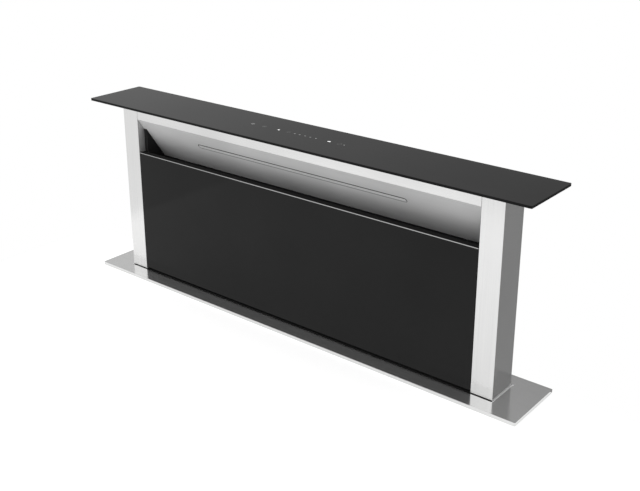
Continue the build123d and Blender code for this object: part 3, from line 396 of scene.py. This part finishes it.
# plastics, rubber, boards and paint
black_plastic = finish(
    "moulded_black_plastic", grey(0.035), grey(0.022), (0.42, 0.55), plain(SKIN),
    relief=0.25, edge=0.0006, edge_colour=grey(0.07))
nylon = finish(
    "pale_nylon", grey(0.94), grey(0.9), (0.3, 0.4), plain(SKIN), relief=0.15, dust=0.0)
white_plastic = finish(
    "moulded_white_plastic", (0.80, 0.80, 0.77, 1), (0.72, 0.72, 0.69, 1), (0.38, 0.5),
    plain(SKIN), relief=0.15)
rubber = finish(
    "seal_rubber", grey(0.022), grey(0.012), (0.6, 0.78), plain(SKIN, Scale=900.0),
    relief=0.3)
opal_lens = finish(
    "opal_lens", grey(0.76), grey(0.72), (0.3, 0.42), plain(CLOUD, Scale=30.0), dust=0.0)
board_green = finish(
    "circuit_board_lacquer", (0.03, 0.17, 0.07, 1), (0.015, 0.09, 0.035, 1), (0.25, 0.4),
    plain(GRAIN, Stretch=(700, 30, 700)), relief=0.1)
motor_paint = finish(
    "motor_black_paint", grey(0.05), grey(0.03), (0.35, 0.5), plain(SKIN, Scale=700.0),
    relief=0.2, edge=0.0008, edge_colour=grey(0.2))

finish_nodes = (
    (flange_steel, "flange_frame"),
    (stainless_x, "lid_tray rear_panel filter_carrier"),
    (header_steel, "header_deflector"),
    (trim_steel, "panel_top_trim"),
    (left_column_steel, "left_column"),
    (right_column_steel, "right_column"),
    (black_coat_and_painted_shade, "front_apron left_cheek right_cheek panel_tray"),
    (lid_black, "lid_glass"),
    (panel_black, "front_glass"),
    (opal_lens, "led_lens"),
    (rubber, "worktop_gasket wiper_seal lower_buffers"),
    (board_green, "touch_board power_board"),
    (mill_aluminium, "light_bar left_filter right_filter left_rail right_rail front_flap "
                     "rear_flap"),
    (cast_aluminium, "lift_gearbox"),
    (zinc, "crossbar worktop_clamps casing_front casing_rear casing_left_side "
           "casing_right_side casing_floor blower_scroll scroll_cover inlet_ring motor_plate "
           "outlet_adapter duct_collar"),
    (machined, "hinge_pins catch_magnets drive_shaft left_pinion right_pinion motor_shaft "
               "flap_pin clamp_screws"),
    (white_plastic, "left_rack right_rack tower_glides motor_capacitor"),
    (black_plastic, "shaft_bushes impeller control_box control_box_cover cable_gland"),
    (motor_paint, "lift_motor blower_motor"),
)
node_finish = {name: material for material, names in finish_nodes for name in names.split()}
for node_name, node_object in nodes.items():
    node_object.data.materials.clear()
    node_object.data.materials.append(node_finish[node_name])


# ---------------------------------------------------------------- building small pieces

def piece(name, mesh, material, body):
    """Finishes a mesh as a piece that moves with a body."""
    mesh.name = name
    mesh.materials.clear()
    mesh.materials.append(material)
    made = new_object(name, mesh)
    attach(made, body)
    return made


def mesh_from(build):
    """A mesh filled by a function that is given an empty bmesh."""
    work = bmesh.new()
    build(work)
    bmesh.ops.recalc_face_normals(work, faces=work.faces)
    mesh = bpy.data.meshes.new("work")
    work.to_mesh(mesh)
    work.free()
    return mesh


def prism(work, outline, low, high, inner=None):
    """Adds an upright plate between two levels, with an optional hole of as many points."""
    rings = []
    for points in (outline, inner) if inner else (outline,):
        rings.append([
            [work.verts.new((x, y, z)) for x, y in points] for z in (low, high)
        ])
    count = len(outline)
    for ring in rings:
        for i in range(count):
            j = (i + 1) % count
            work.faces.new((ring[0][i], ring[0][j], ring[1][j], ring[1][i]))
    for level in (0, 1):
        if not inner:
            work.faces.new(rings[0][level])
            continue
        for i in range(count):
            j = (i + 1) % count
            near, far = rings[0][level], rings[1][level]
            work.faces.new((near[i], near[j], far[j], far[i]))


def circle_points(x, y, radius, count=24):
    """Points round a circle."""
    turns = [2 * math.pi * i / count for i in range(count)]
    return [(x + radius * math.cos(turn), y + radius * math.sin(turn)) for turn in turns]


def stadium_points(length, height, steps=12):
    """Points round a slot shape: two half circles joined by straight runs."""
    radius = height / 2
    points = []
    for centre, first in ((length / 2 - radius, -math.pi / 2), (radius - length / 2, math.pi / 2)):
        for i in range(steps + 1):
            turn = first + math.pi * i / steps
            points.append((centre + radius * math.cos(turn), radius * math.sin(turn)))
    return points


# ---------------------------------------------------------------- touch row on the lid

MARK_Y = 2 * MM
MARK_LIFT = 0.03 * MM
lid_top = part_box("lid_glass")[1].z

mark_dim = finish(
    "touch_mark_dim", grey(0.10), grey(0.08), (0.2, 0.3), plain(SKIN), dust=0.0)
mark_mid = finish(
    "touch_mark_printed", grey(0.40), grey(0.32), (0.2, 0.3), plain(SKIN), dust=0.0)
# white print given a glow by emission, which is painted light: no lamp lies behind it
mark_glow = finish(
    "touch_mark_painted_glow", grey(0.9), grey(0.82), (0.3, 0.4), plain(SKIN), dust=0.0,
    Emission_Color=grey(1.0), Emission_Strength=0.55)


def mark_mesh(discs=(), rings=(), bars=()):
    """Flat marks on the lid.

    Discs are (x, radius), rings (x, radius, line) and bars (x, length, height).
    """
    def build(work):
        top = lid_top + MARK_LIFT
        for x, radius in discs:
            prism(work, circle_points(x, MARK_Y, radius), lid_top, top)
        for x, radius, line in rings:
            outer = circle_points(x, MARK_Y, radius)
            prism(work, outer, lid_top, top, circle_points(x, MARK_Y, radius - line))
        for x, length, height in bars:
            half, rise = length / 2, height / 2
            corners = [(x - half, MARK_Y - rise), (x + half, MARK_Y - rise),
                       (x + half, MARK_Y + rise), (x - half, MARK_Y + rise)]
            prism(work, corners, lid_top, top)
    return mesh_from(build)


# where the signs are along the lid, from left to right
FIRST_SIGN_X, SECOND_SIGN_X = -97 * MM, -72 * MM
GLOW_DOT_X, SMALL_RING_X = -41 * MM, -20 * MM
DOT_ROW_X = [-7 * MM, 3 * MM, 14 * MM, 25 * MM, 36 * MM]
BAR_X, LAST_RING_X, LAST_DOT_X = 62.5 * MM, 83 * MM, 92 * MM
THIN_LINE, THICK_LINE = 0.8 * MM, 1.2 * MM

piece("touch_marks_dim", mark_mesh(
    rings=[(SMALL_RING_X, 3 * MM, THIN_LINE), (LAST_RING_X, 4 * MM, THIN_LINE),
           (SECOND_SIGN_X, 3.4 * MM, THICK_LINE)],
    discs=[(SECOND_SIGN_X, 1.2 * MM)],
), mark_dim, "tower")
piece("touch_marks_printed", mark_mesh(
    discs=[(x, 1.5 * MM) for x in DOT_ROW_X]
    + [(FIRST_SIGN_X, 1.6 * MM), (LAST_DOT_X, 1.5 * MM)],
    rings=[(FIRST_SIGN_X, 3.2 * MM, THIN_LINE)],
), mark_mid, "tower")
piece("touch_marks_lit", mark_mesh(
    discs=[(GLOW_DOT_X, 1.9 * MM)],
    bars=[(BAR_X, 5.6 * MM, 3 * MM)],
), mark_glow, "tower")


# ---------------------------------------------------------------- painted shadow line round the light slot

SLOT_LENGTH, SLOT_HEIGHT = 433 * MM, 8.3 * MM
SLOT_LINE = 1.9 * MM
SLOT_RISE = 0.08 * MM
SLOT_CENTRE = 34.15 * MM  # down the deflector's face from the header's foot
DEFLECTOR_LEAN = math.radians(34)
header_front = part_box("header_deflector")[0].y


def slot_plane():
    """Turns a flat outline onto the deflector's face, centred on the light slot."""
    back, down = math.sin(DEFLECTOR_LEAN), math.cos(DEFLECTOR_LEAN)
    centre = Vector((0, header_front + SLOT_CENTRE * back, header_foot - SLOT_CENTRE * down))
    across = Vector((1, 0, 0))
    out = Vector((0, -down, -back))
    up = out.cross(across)
    turn = Matrix((across, up, out)).transposed().to_4x4()
    return Matrix.Translation(centre) @ turn


def slot_line_mesh():
    """A thin frame round the lens, a little proud of the deflector, painted as the shade along the
    slot's edge.
    """
    def build(work):
        outer = stadium_points(SLOT_LENGTH + SLOT_LINE, SLOT_HEIGHT + SLOT_LINE)
        inner = stadium_points(SLOT_LENGTH - SLOT_LINE, SLOT_HEIGHT - SLOT_LINE)
        prism(work, outer, 0.0, SLOT_RISE, inner)
    mesh = mesh_from(build)
    mesh.transform(slot_plane())
    return mesh


# the frame is painted shade along the slot's edge: a dark painted shadow above the slot's middle,
# and a paler painted shade below it
slot_line = finish(
    "slot_edge_painted_shadow", grey(0.34), grey(0.29), (0.5, 0.6), plain(SKIN), dust=0.0,
    zone=("Z", slot_plane().translation.z, grey(0.02), grey(0.012), (0.5, 0.6), 0.0))
piece("light_slot_gasket", slot_line_mesh(), slot_line, "tower")


# ---------------------------------------------------------------- painted shade on the deflector's foot

FOOT_SHADE_THICKNESS = 0.4 * MM
FOOT_SHADE_INSET = 0.6 * MM
DEFLECTOR_SHEET = 1.2 * MM
foot_low, foot_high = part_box("header_deflector")
cheek_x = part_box("right_cheek")[0].x
foot_front = foot_high.y - DEFLECTOR_SHEET
foot_shade_top = header_foot - (foot_front - header_front) / math.tan(DEFLECTOR_LEAN)


def foot_shade_mesh():
    """A black strip over the deflector's foot, where the air turns in to the filters; its black is
    painted shade at the bottom of the slot.
    """
    reach = cheek_x - FOOT_SHADE_INSET
    face = foot_front - FOOT_SHADE_THICKNESS
    outline = [(-reach, face), (reach, face), (reach, foot_front), (-reach, foot_front)]
    return mesh_from(lambda work: prism(work, outline, foot_low.z + FOOT_SHADE_INSET, foot_shade_top))


piece("deflector_foot_seal", foot_shade_mesh(), black_coat_and_painted_shade, "tower")


# ---------------------------------------------------------------- guides in the opening

# steel strips fill the opening round the tower; pale nylon pads lie at the columns' ends, next to
# them as a thin lip and behind them, so that the lip shows as a white line at the foot. The pads
# are guides, and that white line is a painted highlight: it stands in for the bright line of light
# at the opening's rim
GUIDE_TOP, GUIDE_FOOT = 5.8 * MM, 3.6 * MM
STRIP_GAP, PAD_GAP = 2.3 * MM, 0.3 * MM
PAD_LIP = 1.4 * MM
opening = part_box("wiper_seal")[1]
column_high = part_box("right_column")[1]


def bars(outlines):
    """A mesh of upright bars, each a rectangle (x0, x1, y0, y1), at the guides' height."""
    def build(work):
        for x0, x1, y0, y1 in outlines:
            prism(work, [(x0, y0), (x1, y0), (x1, y1), (x0, y1)], GUIDE_FOOT, GUIDE_TOP)
    return mesh_from(build)


strip_edge = column_high.y + STRIP_GAP
pad_edge = column_high.x + PAD_GAP
pad_end = pad_edge + PAD_LIP
piece("guide_strips", bars([
    (-opening.x, opening.x, -opening.y, -strip_edge),
    (-pad_edge, pad_edge, strip_edge, opening.y),
    (pad_end, opening.x, -strip_edge, strip_edge),
    (-opening.x, -pad_end, -strip_edge, strip_edge),
]), flange_steel, "casing")
piece("guide_pads", bars([
    (pad_edge, pad_end, -strip_edge, strip_edge),
    (-pad_end, -pad_edge, -strip_edge, strip_edge),
    (pad_edge, opening.x, strip_edge, opening.y),
    (-opening.x, -pad_edge, strip_edge, opening.y),
]), nylon, "casing")


# ---------------------------------------------------------------- screws and rivets

def fastener_tree():
    """Sets one head on every point, along the point's facing, turned at random about it."""
    tree = bpy.data.node_groups.new("fastener_row", "GeometryNodeTree")
    for label, kind in (("Points", "NodeSocketGeometry"), ("Head", "NodeSocketObject"),
                        ("Size", "NodeSocketFloat"), ("Turn Seed", "NodeSocketInt"),
                        ("Finish", "NodeSocketMaterial")):
        tree.interface.new_socket(label, in_out="INPUT", socket_type=kind)
    tree.interface.new_socket("Fasteners", in_out="OUTPUT", socket_type="NodeSocketGeometry")
    given = add(tree, "NodeGroupInput").outputs
    head = add(tree, "GeometryNodeObjectInfo")
    feed(tree, head.inputs["Object"], given["Head"])
    facing = add(tree, "GeometryNodeInputNamedAttribute")
    facing.data_type = "FLOAT_VECTOR"
    facing.inputs["Name"].default_value = "facing"
    aim = add(tree, "FunctionNodeAlignRotationToVector")
    aim.axis = "Z"
    feed(tree, aim.inputs["Vector"], facing.outputs["Attribute"])
    rows = add(tree, "GeometryNodeInstanceOnPoints")
    feed(tree, rows.inputs["Points"], given["Points"])
    feed(tree, rows.inputs["Instance"], head.outputs["Geometry"])
    feed(tree, rows.inputs["Rotation"], aim.outputs["Rotation"])
    feed(tree, rows.inputs["Scale"], given["Size"])
    chance = add(tree, "FunctionNodeRandomValue")
    chance.data_type = "FLOAT"
    feed(tree, chance.inputs[3], 2 * math.pi)
    feed(tree, chance.inputs["Seed"], given["Turn Seed"])
    turn = add(tree, "ShaderNodeCombineXYZ")
    feed(tree, turn.inputs["Z"], chance.outputs[1])
    spin = add(tree, "GeometryNodeRotateInstances")
    feed(tree, spin.inputs["Instances"], rows.outputs["Instances"])
    feed(tree, spin.inputs["Rotation"], turn.outputs["Vector"])
    whole = add(tree, "GeometryNodeRealizeInstances")
    feed(tree, whole.inputs["Geometry"], spin.outputs["Instances"])
    painted = add(tree, "GeometryNodeSetMaterial")
    feed(tree, painted.inputs["Geometry"], whole.outputs["Geometry"])
    feed(tree, painted.inputs["Material"], given["Finish"])
    out = add(tree, "NodeGroupOutput")
    feed(tree, out.inputs["Fasteners"], painted.outputs["Geometry"])
    return tree


FASTENERS = fastener_tree()
HEAD_SIDES = 12


def head_object(name, profile, recess):
    """A head of unit radius: rings of (radius, height), then a cross recess or a closed top.

    recess is (arm, half width, depth). Its cross has as many corners as the head has sides.
    """
    step = 360 / HEAD_SIDES
    turns = [math.radians(step / 2 + step * i) for i in range(HEAD_SIDES)]

    def build(work):
        rings = []
        for radius, height in profile:
            rings.append([
                work.verts.new((radius * math.cos(t), radius * math.sin(t), height))
                for t in turns
            ])
        if recess:
            arm, half, depth = recess
            corner = ((arm, half, 0), (half, half, 0), (half, arm, 0))
            cross = []
            for quarter in range(4):
                turn = Matrix.Rotation(quarter * math.pi / 2, 3, "Z")
                cross += [turn @ Vector(point) for point in corner]
            top = profile[-1][1]
            for level in (top, top - depth):
                rings.append([work.verts.new((v.x, v.y, level)) for v in cross])
        for low, high in zip(rings, rings[1:]):
            for i in range(HEAD_SIDES):
                j = (i + 1) % HEAD_SIDES
                work.faces.new((low[i], low[j], high[j], high[i]))
        work.faces.new(rings[0][::-1])
        work.faces.new(rings[-1])

    return new_object(name, mesh_from(build))


PAN_PROFILE = [(1.0, 0.0), (1.0, 0.28), (0.86, 0.52), (0.62, 0.62)]
PAN_RECESS = (0.5, 0.15, 0.34)
RIVET_PROFILE = [(1.0, 0.0), (0.94, 0.2), (0.7, 0.38), (0.36, 0.46), (0.34, 0.3)]
pan_head = head_object("pan_head", PAN_PROFILE, PAN_RECESS)
rivet_head = head_object("rivet_head", RIVET_PROFILE, None)


def node_surface(name):
    """A search tree over a CAD node's triangles."""
    mesh = nodes[name].data
    corners = [tuple(v.co) for v in mesh.vertices]
    return BVHTree.FromPolygons(corners, [tuple(f.vertices) for f in mesh.polygons])


def seat(surface, start, direction):
    """The place on a node that a straight line from the start meets first, or None."""
    return surface.ray_cast(Vector(start), Vector(direction))[0]


def fasteners(name, rows, body, seed, size, head):
    """One mesh of heads, turned at random by the seed.

    rows are (node, points, direction, sink): each point is dropped onto the node along the
    direction, and the heads there are set into it by the sink.
    """
    places, facings = [], []
    for node, points, direction, sink in rows:
        surface = node_surface(node)
        for point in points:
            hit = seat(surface, point, direction)
            if hit is None:
                raise ValueError(f"{name}: nothing to sit on at {point}")
            places.append(hit + Vector(direction) * sink)
            facings.append(-Vector(direction))
    cloud = bpy.data.meshes.new(name)
    cloud.from_pydata(places, [], [])
    cloud.attributes.new("facing", "FLOAT_VECTOR", "POINT").data.foreach_set(
        "vector", [value for facing in facings for value in facing])
    holder = new_object(name, cloud)
    rows_made = holder.modifiers.new("rows", "NODES")
    rows_made.node_group = FASTENERS
    values = {"Head": head, "Size": size, "Turn Seed": seed, "Finish": screw_steel}
    for item in FASTENERS.interface.items_tree:
        if item.in_out == "INPUT" and item.name in values:
            rows_made[item.identifier] = values[item.name]
    holder.update_tag()
    ready = holder.evaluated_get(bpy.context.evaluated_depsgraph_get())
    mesh = bpy.data.meshes.new_from_object(ready)
    bpy.data.objects.remove(holder)
    return piece(name, mesh, screw_steel, body)


def spread(low, high, count):
    """Evenly spaced values from low to high."""
    return [low + (high - low) * i / (count - 1) for i in range(count)]


FAR = 0.5  # where the lines start that find the places for the heads
INWARD, OUTWARD = (0, 1, 0), (0, -1, 0)

# rivets up both ends and along the foot of the casing's front and rear sheet
EDGE = 9 * MM
SEAM_TOP = -30 * MM
SEAM_RIVETS, FOOT_RIVETS = 6, 7
RIVET_RADIUS, RIVET_SEED = 3.2 * MM, 4
sheets = [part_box(name) for name in ("casing_front", "casing_rear")]
casing_low = Vector([min(low[i] for low, high in sheets) for i in range(3)])
casing_high = Vector([max(high[i] for low, high in sheets) for i in range(3)])
seam_x = [casing_low.x + EDGE, casing_high.x - EDGE]
seam_z = spread(casing_low.z + 2 * EDGE, SEAM_TOP, SEAM_RIVETS)
upright_seams = [(x, z) for x in seam_x for z in seam_z]
foot_x = spread(seam_x[0] + 5 * EDGE, seam_x[1] - 5 * EDGE, FOOT_RIVETS)
seams = upright_seams + [(x, casing_low.z + EDGE) for x in foot_x]

fasteners("casing_rivets", [
    ("casing_front", [(x, -FAR, z) for x, z in seams], INWARD, 0),
    ("casing_rear", [(x, FAR, z) for x, z in seams], OUTWARD, 0),
], "casing", RIVET_SEED, RIVET_RADIUS, rivet_head)

# screws round the fan's axis and in the corners of the control box's cover
motor_low, motor_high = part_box("blower_motor")
axis_x, axis_z = (motor_low.x + motor_high.x) / 2, (motor_low.z + motor_high.z) / 2
cover_surface = node_surface("scroll_cover")
RIM_OUTSIDE, RIM_INSIDE, RIM_STEP = 0.24, 0.08, 0.001
RIM_INSET = 6 * MM


def cover_rim(turn):
    """A point a little inside the scroll cover's rim, in one direction from the fan's axis."""
    across, rise = math.cos(turn), math.sin(turn)
    radius = RIM_OUTSIDE
    while radius > RIM_INSIDE:
        start = (axis_x + radius * across, -FAR, axis_z + radius * rise)
        if seat(cover_surface, start, INWARD):
            inner = radius - RIM_INSET
            return (axis_x + inner * across, -FAR, axis_z + inner * rise)
        radius -= RIM_STEP
    raise ValueError("the scroll cover has no rim here")


def ring(radius, count, first):
    """Points in front of the fan's axis, round a circle from a first angle."""
    turns = [first + 2 * math.pi * i / count for i in range(count)]
    return [(axis_x + radius * math.cos(t), -FAR, axis_z + radius * math.sin(t)) for t in turns]


RIM_SCREWS, RIM_FIRST = 9, 0.35
PLATE_RADIUS, PLATE_SCREWS, PLATE_FIRST = 67 * MM, 6, 0.5
MOTOR_RADIUS, MOTOR_SCREWS, MOTOR_FIRST = 39 * MM, 3, 0.2
MOTOR_SCREW_SINK = 1.3 * MM
BOX_INSET = 7 * MM
SCREW_RADIUS, SCREW_SEED = 3.6 * MM, 11
rim_points = [cover_rim(2 * math.pi * i / RIM_SCREWS + RIM_FIRST) for i in range(RIM_SCREWS)]
box_low, box_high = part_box("control_box_cover")
box_corners = [(x, -FAR, z) for x in (box_low.x + BOX_INSET, box_high.x - BOX_INSET)
               for z in (box_low.z + BOX_INSET, box_high.z - BOX_INSET)]
fasteners("cover_screws", [
    ("scroll_cover", rim_points, INWARD, 0),
    ("motor_plate", ring(PLATE_RADIUS, PLATE_SCREWS, PLATE_FIRST), INWARD, 0),
    ("blower_motor", ring(MOTOR_RADIUS, MOTOR_SCREWS, MOTOR_FIRST), INWARD, MOTOR_SCREW_SINK),
    ("control_box_cover", box_corners, INWARD, 0),
], "casing", SCREW_SEED, SCREW_RADIUS, pan_head)

for spare in (pan_head, rivet_head):
    bpy.data.objects.remove(spare)


# ---------------------------------------------------------------- studio and camera

def empty_material(name):
    """A material with no nodes yet, and its tree."""
    made = bpy.data.materials.new(name)
    made.use_nodes = True
    made.node_tree.nodes.clear()
    return made, made.node_tree


def seen_rays(tree):
    """1 for what the camera sees directly, in a reflection or through glass, otherwise 0."""
    path = add(tree, "ShaderNodeLightPath").outputs
    seen = maths(tree, "MAXIMUM", path["Is Camera Ray"], path["Is Glossy Ray"])
    return maths(tree, "MAXIMUM", seen, path["Is Transmission Ray"])


def studio_material(name, level, lift):
    """A matt white of one level; lift is added where it is seen directly or in a reflection."""
    made, tree = empty_material(name)
    matt = add(tree, "ShaderNodeBsdfDiffuse")
    matt.inputs["Color"].default_value = grey(level)
    glow = add(tree, "ShaderNodeEmission")
    feed(tree, glow.inputs["Strength"], maths(tree, "MULTIPLY", seen_rays(tree), lift))
    both = add(tree, "ShaderNodeAddShader")
    tree.links.new(matt.outputs[0], both.inputs[0])
    tree.links.new(glow.outputs[0], both.inputs[1])
    out = add(tree, "ShaderNodeOutputMaterial")
    tree.links.new(both.outputs[0], out.inputs[0])
    return made


def stage_mesh(name, corners, faces, material):
    """A flat stage piece."""
    mesh = bpy.data.meshes.new(name)
    mesh.from_pydata(corners, [], faces)
    mesh.materials.append(material)
    made = new_object(name, mesh)
    return made


FLOOR_LEFT, FLOOR_RIGHT = -0.60, 0.87
FLOOR_FRONT, FLOOR_BACK = -0.75, 0.058
FLOOR_LEVEL, FLOOR_LIFT = 0.85, 0.53
CUT_X, CUT_Y = 0.426, 0.047


def make_floor():
    """A pale worktop plane round the cut-out that the casing hangs in."""
    xs = (FLOOR_LEFT, -CUT_X, CUT_X, FLOOR_RIGHT)
    ys = (FLOOR_FRONT, -CUT_Y, CUT_Y, FLOOR_BACK)
    corners = [(x, y, 0.0) for y in ys for x in xs]
    faces = [
        (row * 4 + col, row * 4 + col + 1, row * 4 + col + 5, row * 4 + col + 4)
        for row in range(3) for col in range(3) if (row, col) != (1, 1)
    ]
    white = studio_material("worktop_white", FLOOR_LEVEL, FLOOR_LIFT)
    stage_mesh("worktop_floor", corners, faces, white)


make_floor()

CARD_Y = 1.7
CARD_LEFT, CARD_RIGHT = -4.0, 3.0
CARD_FOOT, CARD_TOP = -2.5, 3.5
CARD_LEFT_LEVEL, CARD_RIGHT_LEVEL = 0.66, 0.27
FADE_LEFT, FADE_RIGHT = -2.4, 0.2


def card_material():
    """A grey that falls off from the left end of the card to the right."""
    made, tree = empty_material("card_grey")
    across = add(tree, "ShaderNodeSeparateXYZ")
    feed(tree, across.inputs[0], add(tree, "ShaderNodeTexCoord").outputs["Object"])
    level = remap(tree, across.outputs["X"], FADE_LEFT, FADE_RIGHT,
                  CARD_LEFT_LEVEL, CARD_RIGHT_LEVEL)
    glow = add(tree, "ShaderNodeEmission")
    feed(tree, glow.inputs["Strength"], level)
    tree.links.new(glow.outputs[0], add(tree, "ShaderNodeOutputMaterial").inputs[0])
    return made


def make_card():
    """A grey card behind the object that shows only in the steel and the glass."""
    corners = [
        (CARD_LEFT, CARD_Y, CARD_FOOT), (CARD_RIGHT, CARD_Y, CARD_FOOT),
        (CARD_RIGHT, CARD_Y, CARD_TOP), (CARD_LEFT, CARD_Y, CARD_TOP),
    ]
    card = stage_mesh("back_card", corners, [(0, 1, 2, 3)], card_material())
    card.visible_camera = False
    card.visible_shadow = False
    card.visible_diffuse = False


make_card()

WORLD_LIGHT, WORLD_SEEN = 0.7, 1.0


def make_world():
    """White all round, a little dimmer as a light than as a background."""
    world = bpy.data.worlds.new("studio_white")
    world.use_nodes = True
    tree = world.node_tree
    sky = tree.nodes["Background"]
    sky.inputs["Color"].default_value = grey(1.0)
    strength = remap(tree, seen_rays(tree), 0.0, 1.0, WORLD_LIGHT, WORLD_SEEN)
    feed(tree, sky.inputs["Strength"], strength)
    bpy.context.scene.world = world


make_world()


def soft_lamp(name, place, target, size, watts):
    """A square soft lamp aimed at a point."""
    data = bpy.data.lights.new(name, "AREA")
    data.shape = "SQUARE"
    data.size = size
    data.energy = watts
    lamp = new_object(name, data)
    lamp.location = place
    lamp.rotation_euler = (Vector(target) - Vector(place)).to_track_quat("-Z", "Y").to_euler()


LAMP_PLACE, LAMP_TARGET = (-1.4, -1.9, 2.2), (0, 0, 0.1)
LAMP_SIZE, LAMP_WATTS = 4.2, 26.0
soft_lamp("key_lamp", LAMP_PLACE, LAMP_TARGET, LAMP_SIZE, LAMP_WATTS)

CAMERA_PLACE = (0.9642, -1.1347, 0.767)
CAMERA_PITCH = 19.94
CAMERA_YAW = 38.98
CAMERA_LENS = 55.09
CAMERA_SENSOR = 36.0
CAMERA_SHIFT = -0.08


def make_camera():
    """The photograph's viewing angle, from the front right and above."""
    data = bpy.data.cameras.new("camera")
    data.lens = CAMERA_LENS
    data.sensor_width = CAMERA_SENSOR
    data.shift_y = CAMERA_SHIFT
    camera = new_object("camera", data)
    camera.location = CAMERA_PLACE
    camera.rotation_euler = (math.radians(90.0 - CAMERA_PITCH), 0.0, math.radians(CAMERA_YAW))
    bpy.context.scene.camera = camera


make_camera()
bpy.context.scene.view_settings.view_transform = "Standard"
